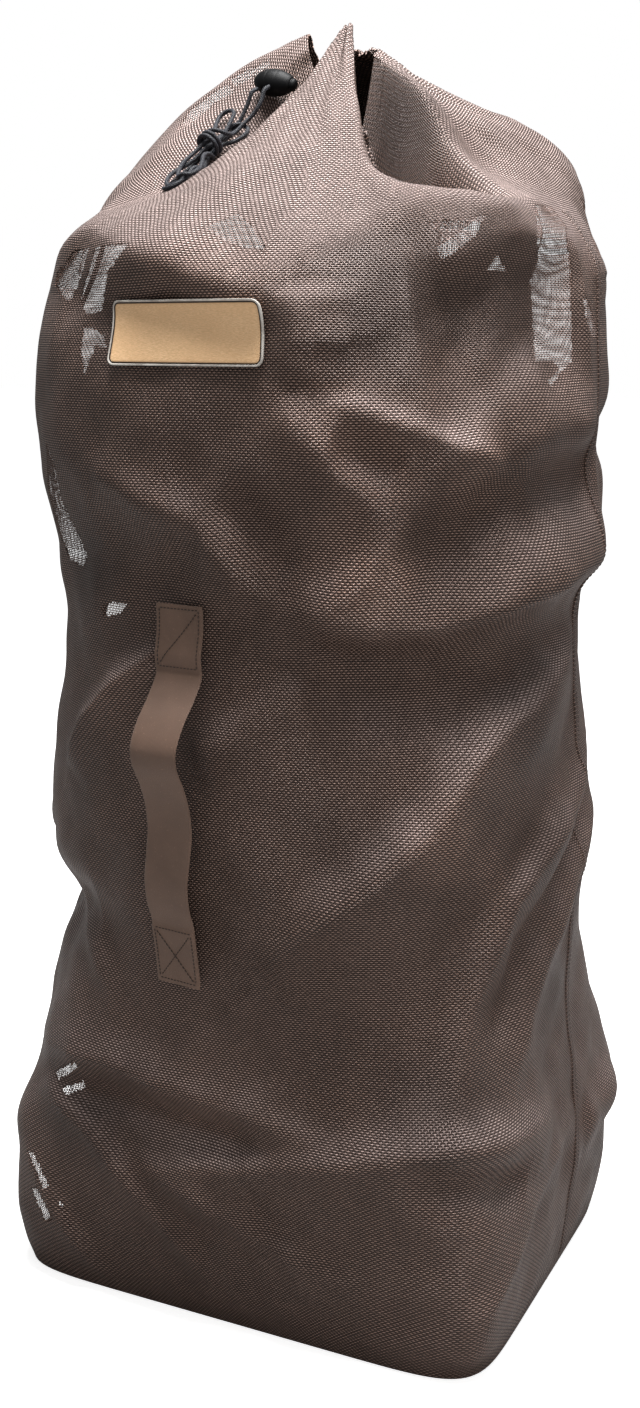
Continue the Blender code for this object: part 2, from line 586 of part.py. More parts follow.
def make_hank(seat, look):
    """The outer shape of the tied bundle, lying in the gully beside the front fold."""
    start, along, side, outward, length = hank_frame()
    shares = np.linspace(-1, 1, HANK_COLUMNS)
    reach_side = HANK_WIDTH * HANK_SEAT_SHARE
    reach_along = length * HANK_SEAT_SHARE
    inner = []
    outer = []
    for row in range(HANK_ROWS):
        turn = math.pi * row / (HANK_ROWS - 1)
        travel = length * (1 - math.cos(turn)) / 2
        half = HANK_WIDTH / 2 * max(HANK_END_SHARE, math.sin(turn)) ** 0.5
        for share in shares:
            nominal = start + along * travel + side * (half * share)
            lift = seat.highest(nominal, outward, side, along, reach_side, reach_along)
            crown = math.sqrt(max(0.0, 1 - share**2)) * max(HANK_END_SHARE, math.sin(turn)) ** 0.5
            height = HANK_EDGE_HEIGHT + (HANK_HEIGHT - HANK_EDGE_HEIGHT) * crown
            inner.append(nominal + outward * (lift + GAP))
            outer.append(nominal + outward * (lift + GAP + height))
    return mesh_object("cord_hank", inner + outer, slab_faces(HANK_ROWS, HANK_COLUMNS), look)


def cord_curve(route):
    """Points a few millimetres apart on one smooth curve through the route."""
    way = np.array(route, float)
    lengths = np.linalg.norm(np.diff(way, axis=0), axis=1)
    knots = np.concatenate([[0], np.cumsum(lengths)])
    count = max(4, round(knots[-1] / CORD_STEP) + 1)
    return blend_knots(way, knot_slopes(way, knots), knots, np.linspace(0, knots[-1], count))


def make_strand(strand, seat, leave, arrive, look):
    """One strand from the toggle to the bundle, lying on the cloth at the places between."""
    route = [leave[0], leave[0] + leave[1] * CORD_LEAD]
    raised = CORD_DIAMETER / 2 + CORD_CLEARANCE
    for angle, up, lift in strand.places:
        point, outward = cloth_place((angle, up))
        side = outward.orthogonal().normalized()
        cloth = seat.highest(point, outward, side, outward.cross(side), raised, raised)
        route.append(point + outward * (cloth + raised + lift))
    route += [arrive[0] - arrive[1] * CORD_LEAD, arrive[0]]
    curve = bpy.data.curves.new(strand.name, "CURVE")
    curve.dimensions = "3D"
    spline = curve.splines.new("POLY")
    points = cord_curve(route)
    spline.points.add(len(points) - 1)
    for spot, point in zip(spline.points, points):
        spot.co = (*point, 1.0)
    curve.bevel_depth = CORD_DIAMETER / 2
    curve.bevel_resolution = 2
    curve.use_fill_caps = True
    curve.materials.append(look)
    made = bpy.data.objects.new(strand.name, curve)
    bpy.context.scene.collection.objects.link(made)


def make_cord(seat):
    black = material("toggle", (0.006, 0.006, 0.007), 0.45)
    cord = material("cord", (0.022, 0.024, 0.032), 0.6)
    centre, axis, side, outward = make_lock(seat, black)
    hank = make_hank(seat, cord)
    along, across = hank_frame()[1:3]
    verts = hank.data.vertices
    under = verts[HANK_COLUMNS // 2].co
    over = verts[(len(verts) + HANK_COLUMNS) // 2].co
    middle = (under + over) / 2
    for strand in STRANDS:
        share, turn = strand.leaves[0], math.radians(strand.leaves[1])
        round_it = math.sqrt(1 - share**2)
        places = (share, -round_it * math.cos(turn), round_it * math.sin(turn))
        leave = centre.copy()
        exit_way = Vector()
        for way, size, place in zip((axis, side, outward), LOCK_SIZE, places):
            leave += way * (size / 2 * place)
            exit_way += way * (place / size)
        exit_way.normalize()
        leave += exit_way * CORD_END_GAP
        arrive = middle + across * (STRAND_SPREAD * strand.side) - along * CORD_END_GAP
        make_strand(strand, seat, (leave, exit_way), (arrive, along), cord)


def main():
    clear_scene()
    body = make_body()
    make_base()
    seat = ClothSeat(body)
    webbing = material("webbing", (0.147, 0.098, 0.080), 0.6)
    make_strap("grab_handle", seat, GRAB_HANDLE, WEBBING_WIDTH, webbing)
    strap_look = material("strap_webbing", (0.147, 0.098, 0.080), 0.6)
    for name, mirror in (("shoulder_strap_right", 1), ("shoulder_strap_left", -1)):
        rows = [StrapRow(mirror * row.angle, row.height, row.standoff) for row in SHOULDER_STRAP]
        make_strap(name, seat, rows, STRAP_WIDTH, strap_look)
    make_patch(seat, material("patch", (0.73, 0.48, 0.26), 0.5))
    make_cord(seat)


main()
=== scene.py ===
"""The looks of the mesh bag: woven cloth, webbing, patch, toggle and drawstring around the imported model.

Metres, +Z up, in the model's own frame. The front faces -Y. Angles are in degrees around the bag:
0 is the front, 90 is the +X side and 180 is the back. Up is a distance along the cloth from its foot.
"""

import math

import bpy
import numpy as np
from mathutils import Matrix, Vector
from mathutils.bvhtree import BVHTree


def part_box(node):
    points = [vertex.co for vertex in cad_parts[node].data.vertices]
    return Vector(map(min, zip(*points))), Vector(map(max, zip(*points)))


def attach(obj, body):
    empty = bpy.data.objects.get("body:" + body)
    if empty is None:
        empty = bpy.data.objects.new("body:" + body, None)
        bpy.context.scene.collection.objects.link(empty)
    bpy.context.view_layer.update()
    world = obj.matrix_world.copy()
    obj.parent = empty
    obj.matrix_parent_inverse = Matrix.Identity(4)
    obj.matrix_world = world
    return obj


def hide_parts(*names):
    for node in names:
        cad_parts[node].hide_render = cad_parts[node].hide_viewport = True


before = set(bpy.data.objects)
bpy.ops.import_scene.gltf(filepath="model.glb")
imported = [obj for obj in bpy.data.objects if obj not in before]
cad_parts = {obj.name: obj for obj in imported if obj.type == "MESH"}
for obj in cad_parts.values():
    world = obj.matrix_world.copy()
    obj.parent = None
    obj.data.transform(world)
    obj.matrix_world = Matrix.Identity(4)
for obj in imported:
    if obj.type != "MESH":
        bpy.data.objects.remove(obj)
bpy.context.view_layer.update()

# Cloth
WALL = 0.0012
CHART_RADIUS = 0.25             # turns an angle into a length along the cloth
FOLD_FREE = 0.03                # the folds fade out over this height above the base
COLUMNS = 300
BODY_ROWS = 212
HEM_ROWS = 17
HEM_FROM = 1.178                # distance up the cloth of the hem's stitched edge
HEM_OUT = 0.0006
HEM_IN = 0.0012
INNER_STEP = 2                  # the inner face has one point for this many of the outer face's
COLUMN_CROWDING = 17.0          # degrees; draws the columns together towards the gathered front
CROWDED_ANGLE = 36.0
YARN_PITCH = 0.0020
YARN_WIDTH = 0.68               # of the pitch
RIPPLE_SEED = 11
RIPPLE_SIZES = (0.11, 0.065, 0.04)
RIPPLES_EACH = 3
RIPPLE_SHARE = 0.010            # rise of a ripple, as a share of its size
PLEATS = 26
PLEAT_RISE = 0.0009
PLEATS_FROM = 1.14
SHARP_ANGLE = 50.0              # degrees between faces; a sharper edge isn't shaded smooth

# The open net in the windows
NET_WIDTH = 0.36                # of the pitch, where the window is fully open
NET_THICKNESS = 0.00042
NET_SWING = 0.00014             # the yarns pass over and under each other by this much
NET_DEPTH = 0.0005
NET_OVERLAP = 0.45              # a yarn runs this far past its last crossing, in pitches
FILL_RISE = 0.00002
FILL_DEPTH = 0.0009
NARROWEST_CELL = 0.12           # of the pitch; a narrower cell stays out of the border
WINDOW_SEED = 5
WINDOW_FRAY = 0.6               # pixels of the photograph
LAST_LEFT_GORE = 1              # the net up to this gore is one piece, and the rest is another

# Seams
SEAMS = (("left", -84.0), ("right", 97.0))
SEAM_FROM_TO = (0.012, 1.02)    # distances up the cloth
SEAM_STEP = 0.005
SEAM_WIDTH = 0.009
SEAM_THICKNESS = 0.0014
SEAM_SINK = 0.0005              # how far the strip's under side lies in the cloth
SEAM_ROWS = 0.32                # of the width, from the middle to each row of stitches
SEAM_STITCH = (0.0042, 0.0031, 0.0003)      # spacing, length, radius
HEM_STITCH_UP = 1.184

# Webbing: a strap's rows are (angle, height, standoff from the cloth) down its middle
WEBBING_WIDTH = 0.045
STRAP_THICKNESS = 0.0016
FOLD_THICKNESS = 0.0014
STRAP_STEP = 0.003
SEAT_GAP = 0.0003
NOMINAL_RADIUS = 0.22
STITCH_INSET = 0.0035
STRAP_STITCH = (0.0034, 0.0027, 0.00042)    # spacing, length, radius
WEBBING_RIB = 1.1               # mm
WEBBING_PICK = 0.9              # mm
GRAB_HANDLE = (
    (-4.8, 0.656, 0), (-4.8, 0.636, 0), (-5.0, 0.616, 0), (-4.8, 0.599, 0.001), (-4.8, 0.583, 0.013),
    (-5.0, 0.566, 0.027), (-5.2, 0.548, 0.034), (-5.4, 0.530, 0.032), (-5.6, 0.512, 0.024),
    (-5.8, 0.492, 0.015), (-6.0, 0.470, 0.010), (-6.7, 0.446, 0.009), (-7.4, 0.422, 0.009),
    (-7.6, 0.402, 0.006), (-7.8, 0.386, 0.001), (-7.8, 0.368, 0), (-7.8, 0.348, 0), (-7.8, 0.328, 0))
SHOULDER_STRAP = (
    (164.0, 0.872, 0), (164.0, 0.850, 0), (163.8, 0.826, 0), (163.5, 0.804, 0.003), (163.0, 0.776, 0.016),
    (162.5, 0.740, 0.028), (162.0, 0.690, 0.036), (161.0, 0.630, 0.040), (160.0, 0.560, 0.041),
    (159.0, 0.490, 0.041), (157.5, 0.420, 0.042), (156.0, 0.355, 0.040), (154.5, 0.300, 0.032),
    (153.0, 0.255, 0.018), (152.0, 0.222, 0.005), (151.5, 0.196, 0), (151.5, 0.172, 0), (151.5, 0.148, 0))

# The patch's profile is (millimetres in from its edge, height) from its under side over rim and groove
PATCH_SIZE = (0.142, 0.050)
PATCH_CORNER = 0.006
SMALLEST_CORNER = 0.0012
PATCH_PLACE = (-2.0, 0.868)     # angle, height
PATCH_RIM = 1.6                 # mm
PATCH_GROOVE = 1.1              # mm
PATCH_POINTS = 160              # round its outline
PATCH_PROFILE = (
    (21, 0), (12, 0), (5, 0), (0.5, 0), (0.12, 0.25), (0, 0.8), (0, 1.5), (0.15, 2.0), (0.5, 2.35),
    (1.0, 2.42), (1.45, 2.30), (1.65, 1.95), (1.75, 1.45), (2.2, 1.25), (2.6, 1.35), (2.75, 1.75),
    (2.95, 1.98), (3.4, 2.08), (4.2, 2.12), (6.0, 2.12), (8.5, 2.08), (12, 2.05), (17, 2.05), (21, 2.05))

# The toggle's profile is (share of half its length, share of half its width) from its foot to its button
LOCK_SIZE = (0.040, 0.024, 0.0195)
LOCK_SHIFT = 0.003              # along its axis, from the middle of its box
LOCK_OUTWARD = (0.10, -0.80, 0.59)
LOCK_AXIS = (0.86, 0.34, -0.40)
LOCK_SIDES = 32
LOCK_PROFILE = (
    (-0.985, 0.20), (-0.94, 0.36), (-0.85, 0.54), (-0.70, 0.74), (-0.50, 0.90), (-0.36, 0.96), (-0.33, 0.93),
    (-0.30, 0.975), (-0.10, 1.0), (0.10, 0.99), (0.13, 0.955), (0.16, 0.975), (0.36, 0.91), (0.52, 0.81),
    (0.68, 0.67), (0.755, 0.58), (0.76, 0.46), (0.80, 0.44), (0.805, 0.48), (0.83, 0.50), (0.90, 0.47),
    (0.96, 0.38), (0.99, 0.24))

# The drawstring
CORD_DIAMETER = 0.0035
CORD_LEAD = 0.006               # the cord runs straight this far out of the toggle
CORD_SIDES = 12
CORD_RINGS = 901
CORD_NODES = 470
CORD_ROUNDS = 420
SMALLEST_BEND = 9.5             # mm, of the cord's middle
CORD_APART = 1.03               # diameters between the middles of two runs that touch
CORD_NEIGHBOURS = 2.6           # diameters along the cord that don't push each other
CORD_SINK = 0.008               # mm that the cord falls in each round
CORD_REST = 0.15                # mm left between the cord and the cloth that it lies on
FIXED_NODES = 4
GROUND_X = (-46, 112)           # mm, of the ground under the bundle, in its own frame
GROUND_Y = (-34, 36)
GROUND_STEP = 2.0
GROUND_BELOW = -6.0             # where there is no cloth
# Where the cord's two ends leave the toggle, from its middle, and which way
CORD_EXITS = (((-0.0094, -0.0098, -0.0058), (-0.38, -0.81, -0.44)),
              ((0.0018, -0.0096, -0.0045), (-0.25, -0.85, -0.46)))
HANK_ENDS = ((-46.0, 1.122), (-36.5, 1.036))        # angle, distance up the cloth
# Its way in the bundle's own frame, in millimetres: along the bundle, to its side and out from the cloth.
# It leaves the toggle, runs through the waist into three long loops and two ears, winds round the waist
# and goes back to the toggle.
TO_WAIST = ((-27, -1.4, 22.8), (-20, -3.2, 15.5), (-10, -3.4, 10), (4, -3, 6), (16, -2.2, 4.4))
LOOPS = (
    ((38, -5, 2.6), (50, -10.5, 1.6), (66, -13.5, 1.2), (80, -12.5, 2), (91, -6, 3), (94, 3, 4),
     (88, 11, 4.4), (74, 13, 4.6), (56, 9, 3.4), (38, 4.2, 3)),
    ((14, 5.5, 5), (3, 11.5, 7), (-7, 12, 9.5), (-12.5, 3.5, 11), (-6, -5, 11), (5, -5.5, 9.5), (15, -3, 8)),
    ((37, 2.5, 6.6), (48, 9, 6.6), (62, 12.5, 6.8), (77, 10, 7), (86, 2, 7.6), (84, -7.5, 8.4),
     (73, -13, 8.8), (57, -9.5, 8.4), (40, -1, 7.8)),
    ((14, 1.5, 9), (4, -2.5, 13), (-6, -4.5, 16.5), (-15.5, -9.5, 18.5), (-17.5, -17.5, 18),
     (-9.5, -22, 15.5), (2, -17.5, 12.5), (14, -8.5, 11)),
    ((37, -4.5, 11), (49, -9, 11.2), (62, -7.5, 11.6), (73, -1, 12), (80, 8, 12.4), (77, 17.5, 12.6),
     (67, 19, 12.8), (56, 12.5, 13), (46, 8.5, 12.8)))
FROM_WAIST = ((4, 4.5, 11), (-8, 4.5, 11.5), (-17, 6.5, 14.5), (-24, 10, 19.5), (-28, 12, 23.5))
WAIST_X = 26.0
WAIST_HEIGHT = 7.8
WAIST_HALF = 5.0
WAIST_ROWS = ((-1.9, -3.7), (1.9, -3.7), (-1.9, 0.0), (1.9, 0.0), (-1.9, 3.7))
WAIST_LIFT = 6.0                # the cord is lifted here so that the wraps stay round
WAIST_REACH = 14.0
WRAPS = 3
WRAP_RADIUS = 9.6
WRAP_FROM = 33.0
WRAP_TO = 19.5
WRAP_START = 35.0               # degrees round the waist
WRAP_EASE = 9.0                 # how far along the bundle the cord swings into and out of the wraps
EASE_TURN = 0.3
LOOPS_LEAN = 0.17               # the loops lie over to the side by this much of their way past the waist

# Looks
BASE_YARN = 0.0016
CLOTH_SPECULAR = 0.55
CLOTH_SHINE = (1.0, 0.80, 0.74, 1.0)
# where the cloth is painted paler as light from above, by how far it faces up
PAINTED_TOP_LIGHT_FROM_TO = (0.22, 0.95)
# Clouds of painted shade (change below 1) and painted light (change above 1) on the cloth: place, reach, change
PAINTED_LIGHT_SHADE_CLOUDS = (
    ((0.154, -0.183, 0.895), 0.090, 0.42), ((0.207, -0.088, 0.880), 0.080, 0.58),
    ((0.195, -0.125, 0.945), 0.050, 0.70), ((-0.126, -0.186, 0.680), 0.060, 0.60),
    ((0.240, -0.084, 0.575), 0.070, 0.52), ((0.241, -0.077, 0.445), 0.065, 0.62),
    ((0.126, -0.208, 0.467), 0.060, 0.72), ((-0.134, -0.217, 0.180), 0.065, 0.62),
    ((0.199, -0.188, 0.240), 0.080, 0.56), ((0.239, -0.029, 0.292), 0.060, 0.66),
    ((0.079, -0.011, 1.041), 0.070, 0.45), ((0.127, -0.213, 0.699), 0.070, 1.65),
    ((-0.078, -0.220, 0.572), 0.060, 1.60), ((0.199, -0.177, 0.468), 0.055, 1.55),
    ((0.012, -0.233, 0.914), 0.075, 1.60), ((0.096, -0.234, 0.797), 0.065, 1.35),
    ((0.206, -0.145, 0.758), 0.050, 1.40), ((0.139, -0.202, 0.780), 0.062, 1.38),
    ((0.150, -0.204, 0.669), 0.058, 1.32), ((-0.017, -0.205, 0.201), 0.080, 1.40),
    ((-0.115, -0.092, 1.002), 0.090, 1.25))
WORLD_FILL = 0.30
FLOOR_BOUNCE = 0.35             # how much light the floor gives back to the bag
FLOOR_GLOW = 0.75
FLOOR_HALF = 20.0
FLOOR_LEVEL = -0.0011
# Each softbox: name, place, what it points at, size, power
SOFTBOXES = (("top", (0.28, -0.06, 3.00), (0.0, 0.0, 0.8), (1.3, 1.3), 175),
             ("side", (1.9, -1.05, 1.25), (0.0, 0.0, 0.6), (1.2, 1.8), 12))

# The photograph's camera: where it stands round the bag, and its lens for a 640 x 1408 picture
CAMERA_AZIMUTH = 25.6
CAMERA_DISTANCE = 1.50
CAMERA_HEIGHT = 0.87
CAMERA_DIP = 12.73              # degrees below the horizon
LENS = 42.31                    # mm, on a 36 mm long side
PHOTO_MIDDLE = (320.0, 704.0)
FOCAL_PIXELS = LENS / 36.0 * 1408

# The body's sections: distance up the cloth, height, half width, half depth, squareness, shift x and y
SECTIONS = (
    (0.000, 0.000, 0.236, 0.190, 9.0, 0.000, 0), (0.030, 0.029, 0.243, 0.198, 8.5, 0.000, 0),
    (0.110, 0.108, 0.248, 0.208, 7.0, 0.000, 0), (0.190, 0.187, 0.246, 0.212, 6.0, 0.000, 0),
    (0.250, 0.245, 0.238, 0.210, 4.0, 0.002, 0), (0.330, 0.323, 0.234, 0.210, 2.7, 0.004, 0),
    (0.430, 0.421, 0.242, 0.222, 2.5, 0.002, 0), (0.540, 0.529, 0.234, 0.220, 2.4, 0.003, 0),
    (0.630, 0.617, 0.226, 0.216, 2.3, 0.003, 0), (0.720, 0.706, 0.240, 0.226, 2.3, 0.006, 0),
    (0.810, 0.795, 0.246, 0.232, 2.3, 0.002, 0), (0.890, 0.872, 0.245, 0.231, 2.2, 0.004, 0),
    (0.960, 0.930, 0.231, 0.221, 2.1, 0.010, 0.006))

# The gathered crown, in degrees and millimetres. Each row is a ridge or a valley of the gathers: its
# angle, then the distance out from the neck's centre and the height at the brow, the dip behind it, the
# neck and the rim, and how many degrees it turns aside at the rim.
NECK = (0.025, 0.012)
CROWN_UP = (1.035, 1.090, 1.145, 1.200)
CROWN = (
    (-86, 205, 1009, 153, 1060, 93, 1098, 40, 1119, 0), (-59, 200, 985, 150, 1028, 85, 1064, 36, 1096, 0),
    (-36, 185, 972, 136, 1000, 74, 1030, 26, 1062, 0), (-12, 168, 995, 116, 1030, 64, 1072, 18, 1115, 0),
    (8, 172, 988, 123, 1030, 70, 1072, 16, 1120, 0), (26, 175, 984, 130, 1027, 78, 1071, 16, 1121, 0),
    (36, 190, 974, 112, 950, 50, 970, 16, 1040, 5), (59, 193, 962, 112, 935, 64, 965, 14, 1035, 10),
    (72, 184, 966, 120, 1010, 74, 1066, 18, 1100, 30), (92, 170, 976, 124, 1004, 81, 1054, 24, 1104, 55),
    (112, 183, 990, 138, 1028, 83, 1062, 28, 1108, 58), (139, 213, 1014, 161, 1051, 101, 1069, 34, 1106, 45),
    (171, 190, 1008, 140, 1044, 90, 1082, 40, 1108, 28), (198, 180, 992, 132, 1030, 85, 1072, 44, 1110, 16),
    (221, 176, 985, 125, 1008, 70, 1038, 30, 1075, 10), (248, 190, 992, 138, 1024, 85, 1058, 40, 1095, 0))

# The gores of the crown: the yarns run straight up the middle of each, and the cloth between two gores
# is tucked away where they meet. Each has its first angle and its middle.
GORES = ((-84, -59), (-36, -12), (12, 27), (45, 58), (72, 98), (126, 139), (155, 180), (208, 221), (246, 262))
GORES_FROM = 0.93               # distance up the cloth where the gathers start

# Folds and dents, in millimetres: how far the cloth stands out (or in, below 0), how wide the fold is
# above and below its line, how rounded it is, and the line itself as (angle, distance up the cloth).
FOLDS = {
    "shoulder": (12, 44, 24, 1.6, (-62, 940), (-40, 985), (-13, 950), (6, 924), (18, 915)),
    "tongue": (10, 42, 22, 1.8, (20, 925), (21, 885), (20, 845)),
    "under_shoulder": (-10, 20, 50, 2, (-40, 920), (-10, 900), (16, 880)),
    "front_crest": (10, 18, 20, 1.8, (27, 1045), (44, 1037), (62, 1033), (86, 1033)),
    "right_hollow": (-26, 50, 75, 3, (88, 930), (66, 915), (52, 900), (42, 890)),
    "front_ridge": (12, 20, 26, 1.7, (17, 832), (23, 803), (30, 772), (38, 745)),
    "front_rib": (12, 11, 34, 1.4, (25, 836), (32, 826), (40, 814), (49, 800), (60, 780)),
    "front_rib_shade": (-8, 14, 22, 2, (27, 806), (40, 788)),
    "blade": (10, 18, 30, 1.6, (40, 750), (33, 708), (22, 665)),
    "right_roll": (6, 26, 24, 1.6, (96, 800), (80, 812), (62, 800)),
    "right_roll_shade": (-22, 22, 45, 2, (100, 775), (68, 762), (52, 742), (38, 705)),
    "waist_ledge": (22, 42, 20, 1.5, (18, 672), (34, 657), (46, 660), (61, 675), (84, 692), (108, 700)),
    "waist_under": (-12, 18, 55, 2, (22, 630), (40, 624), (58, 612)),
    "left_slant": (14, 22, 30, 1.6, (-26, 775), (-11, 753), (0, 738), (6, 701), (9, 660)),
    "left_pocket": (-10, 22, 24, 2, (6, 768), (13, 730), (19, 700)),
    "handle_hollow": (-10, 45, 30, 2, (-50, 700), (-22, 700), (0, 690)),
    "left_arc": (16, 14, 24, 1.4, (-10, 635), (-23, 592), (-32, 557), (-40, 510)),
    "beside_handle": (10, 26, 20, 1.6, (-3, 535), (10, 571), (23, 610)),
    "long_slant": (22, 22, 45, 1.6, (96, 630), (65, 571), (54, 541), (46, 491), (40, 467), (28, 420), (12, 355)),
    "side_rib_high": (13, 18, 25, 1.6, (106, 515), (93, 485), (75, 450), (64, 419), (54, 320), (50, 260)),
    "side_rib_low": (10, 18, 22, 1.6, (112, 460), (92, 400), (76, 330), (66, 260)),
    "side_gully": (-10, 20, 20, 2, (108, 490), (86, 430), (70, 370), (60, 290)),
    "left_short": (7, 16, 18, 1.6, (-52, 400), (-36, 345), (-26, 300)),
    "lower_left_rib": (16, 30, 18, 1.4, (-50, 238), (-27, 246), (2, 230), (26, 216)),
    "lower_left_shade": (-10, 18, 20, 2, (-40, 215), (-14, 205), (12, 195)),
    "lower_rib": (15, 20, 35, 1.5, (-20, 150), (5, 172), (28, 196), (50, 218), (80, 195)),
    "lower_rib_shade": (-14, 14, 22, 2, (40, 200), (52, 188), (66, 165)),
    "corner_slant_high": (11, 14, 20, 1.5, (-44, 210), (-31, 174), (-20, 124), (-5, 60)),
    "corner_slant_mid": (8, 14, 20, 1.5, (-20, 160), (-5, 135), (14, 104), (34, 80)),
    "corner_slant_low": (6, 12, 16, 1.5, (-46, 130), (-38, 60), (-32, 10)),
    "front_corner": (8, 25, 20, 1.4, (51, 0), (54, 70), (68, 130), (96, 170)),
    "right_bulge": (14, 30, 30, 2, (102, 140), (122, 145)),
    "left_low_dent": (-15, 60, 50, 2, (-104, 200), (-36, 205)),
    "left_notch_high": (-14, 50, 50, 2, (-95, 670), (-62, 680)),
    "left_puff": (6, 30, 26, 2, (-92, 445), (-60, 435)),
    "left_notch_low": (-26, 30, 32, 2, (-104, 385), (-33, 375)),
    "right_notch_high": (-10, 22, 22, 2, (100, 795), (126, 800)),
    "right_notch_low": (-10, 30, 35, 2, (112, 400), (140, 390)),
    "back_shoulder": (10, 40, 22, 1.6, (142, 950), (170, 930), (196, 940), (226, 970)),
    "back_slant_high": (12, 30, 40, 1.6, (138, 840), (164, 790), (196, 760), (226, 700)),
    "back_hollow": (-12, 40, 40, 2, (150, 720), (176, 700), (200, 680)),
    "back_ledge": (12, 45, 20, 1.4, (232, 600), (206, 580), (182, 600), (150, 640)),
    "back_slant_low": (12, 30, 40, 1.6, (234, 500), (208, 450), (180, 380), (156, 340)),
    "back_foot_rib": (11, 28, 20, 1.5, (136, 230), (164, 215), (196, 220), (228, 240)),
    "left_side_rib": (6, 24, 24, 1.6, (-122, 800), (-104, 760), (-88, 740)),
    "left_side_slant": (8, 24, 30, 1.6, (-128, 580), (-112, 550), (-96, 560)),
    "left_side_foot": (9, 22, 20, 1.5, (-124, 160), (-98, 145), (-74, 150)),
}

# Windows: where the photograph's light shows through the net, as outlines in its own pixels. A cell
# between yarns is open on every wall of the bag that the camera sees through such an outline.
WINDOWS = (
    ((57, 272), (75, 250), (90, 246), (79, 285), (70, 301), (62, 298), (55, 284)),
    ((95, 246), (129, 243), (108, 272), (102, 312), (85, 316), (80, 300), (88, 270)),
    ((84, 325), (93, 327), (105, 335), (106, 347), (95, 346), (88, 366), (84, 378), (80, 350)),
    ((46, 440), (56, 470), (62, 500), (76, 528), (88, 556), (84, 568), (70, 560), (58, 530), (48, 490)),
    ((100, 606), (112, 601), (127, 604), (121, 614), (104, 617)),
    ((202, 227), (237, 213), (256, 228), (268, 250), (245, 248), (222, 240)),
    ((427, 222), (487, 214), (476, 237), (460, 250), (442, 261), (436, 249), (440, 234)),
    ((535, 204), (551, 206), (566, 226), (571, 270), (573, 362), (561, 374), (551, 388), (548, 380),
     (559, 368), (552, 361), (535, 362), (530, 281), (538, 260), (537, 226)),
    ((485, 271), (498, 254), (508, 272)),
    ((580, 198), (590, 206), (602, 230), (606, 262), (597, 254), (587, 222)),
    ((583, 296), (588, 299), (601, 340), (592, 338), (585, 316)),
    ((228, 79), (270, 58), (271, 69), (252, 78), (235, 87)),
    ((228, 83), (236, 90), (215, 103), (195, 121), (176, 132), (188, 112), (208, 95)),
    ((27, 1150), (35, 1154), (49, 1186), (43, 1190)),
    ((31, 1188), (37, 1188), (53, 1220), (46, 1224)),
    ((57, 1200), (62, 1202), (75, 1230), (69, 1232)),
    ((54, 1072), (74, 1060), (79, 1068), (58, 1080)),
    ((60, 1088), (84, 1080), (86, 1087), (66, 1096)))


def ramp(value, low, high):
    """0 below low, 1 above high, and smooth between."""
    share = np.clip((value - low) / (high - low), 0, 1)
    return share**2 * (3 - 2 * share)


def unit(vectors):
    return vectors / np.linalg.norm(vectors, axis=-1, keepdims=True)


def square_to(first, second):
    """Unit vectors square to both."""
    return -unit(np.cross(first, second))


def run_lengths(points):
    """How far along its line each point is."""
    return np.concatenate([[0], np.cumsum(np.linalg.norm(np.diff(points, axis=0), axis=1))])


def read_off(at, along, values):
    """Each column of values, whose rows lie at the distances along, at each distance in at."""
    return np.stack([np.interp(at, along, column) for column in values.T], -1)


def curve(values, knots, at, limited=False):
    """The smooth curve through values, whose first axis follows the knots, at each place in at.

    A limited curve never swings past its values between two knots.
    """
    shape = (-1,) + (1,) * (values.ndim - 1)
    steps = np.diff(knots).reshape(shape)
    rates = np.diff(values, axis=0) / steps
    before, after, lower, upper = rates[:-1], rates[1:], steps[:-1], steps[1:]
    inner = (before * upper + after * lower) / (upper + lower)
    if limited:
        same = before * after > 0
        parts = (2 * upper + lower) / np.where(same, before, 1) + (upper + 2 * lower) / np.where(same, after, 1)
        inner = np.where(same, 3 * (upper + lower) / np.where(same, parts, 1), 0)
    slopes = np.concatenate([rates[:1], inner, rates[-1:]])
    index = np.clip(np.searchsorted(knots, at) - 1, 0, len(knots) - 2)
    step = knots[index + 1] - knots[index]
    t = ((at - knots[index]) / step).reshape(shape)
    step = step.reshape(shape)
    return ((2 * t**3 - 3 * t**2 + 1) * values[index] + (t**3 - 2 * t**2 + t) * step * slopes[index]
            + (3 * t**2 - 2 * t**3) * values[index + 1] + (t**3 - t**2) * step * slopes[index + 1])


def section_rings(angles):
    """Points of the body's sections at each angle: axes angle, ring, x y z."""
    height, wide, deep, square, shift_x, shift_y = np.array(SECTIONS, float)[:, 1:].T
    turn = np.radians(angles)[:, None]
    reach = (np.abs(np.sin(turn) / wide) ** square + np.abs(np.cos(turn) / deep) ** square) ** (-1 / square)
    return np.stack([shift_x + reach * np.sin(turn), shift_y - reach * np.cos(turn), height + 0 * reach], -1)


def crown_rings(angles):
    """Points of the four crown rings at each angle: axes angle, ring, x y z."""
    rows = np.array(CROWN, float)
    turns = rows[:, 0]
    lean = np.repeat(turns[:, None], len(CROWN_UP), axis=1)
    lean[:, -1] += rows[:, -1]
    rings = np.stack([rows[:, 1:-1:2] / 1000, rows[:, 2:-1:2] / 1000, lean], -1)
    around = np.concatenate([turns[-3:] - 360, turns, turns[:3] + 360])
    rings = np.concatenate([rings[-3:] - (0, 0, 360), rings, rings[:3] + (0, 0, 360)])
    wrapped = turns[0] + (angles - turns[0]) % 360
    out, height, lean = np.moveaxis(curve(rings, around, wrapped, limited=True), -1, 0)
    lean = np.radians(lean)
    return np.stack([NECK[0] + out * np.sin(lean), NECK[1] - out * np.cos(lean), height], -1)


def smooth_cloth(angles, ups):
    """The bag without its folds: axes up, angle, x y z."""
    knots = np.array([row[0] for row in SECTIONS] + list(CROWN_UP))
    rings = np.concatenate([section_rings(angles), crown_rings(angles)], axis=1)
    return curve(np.swapaxes(rings, 0, 1), knots, ups)


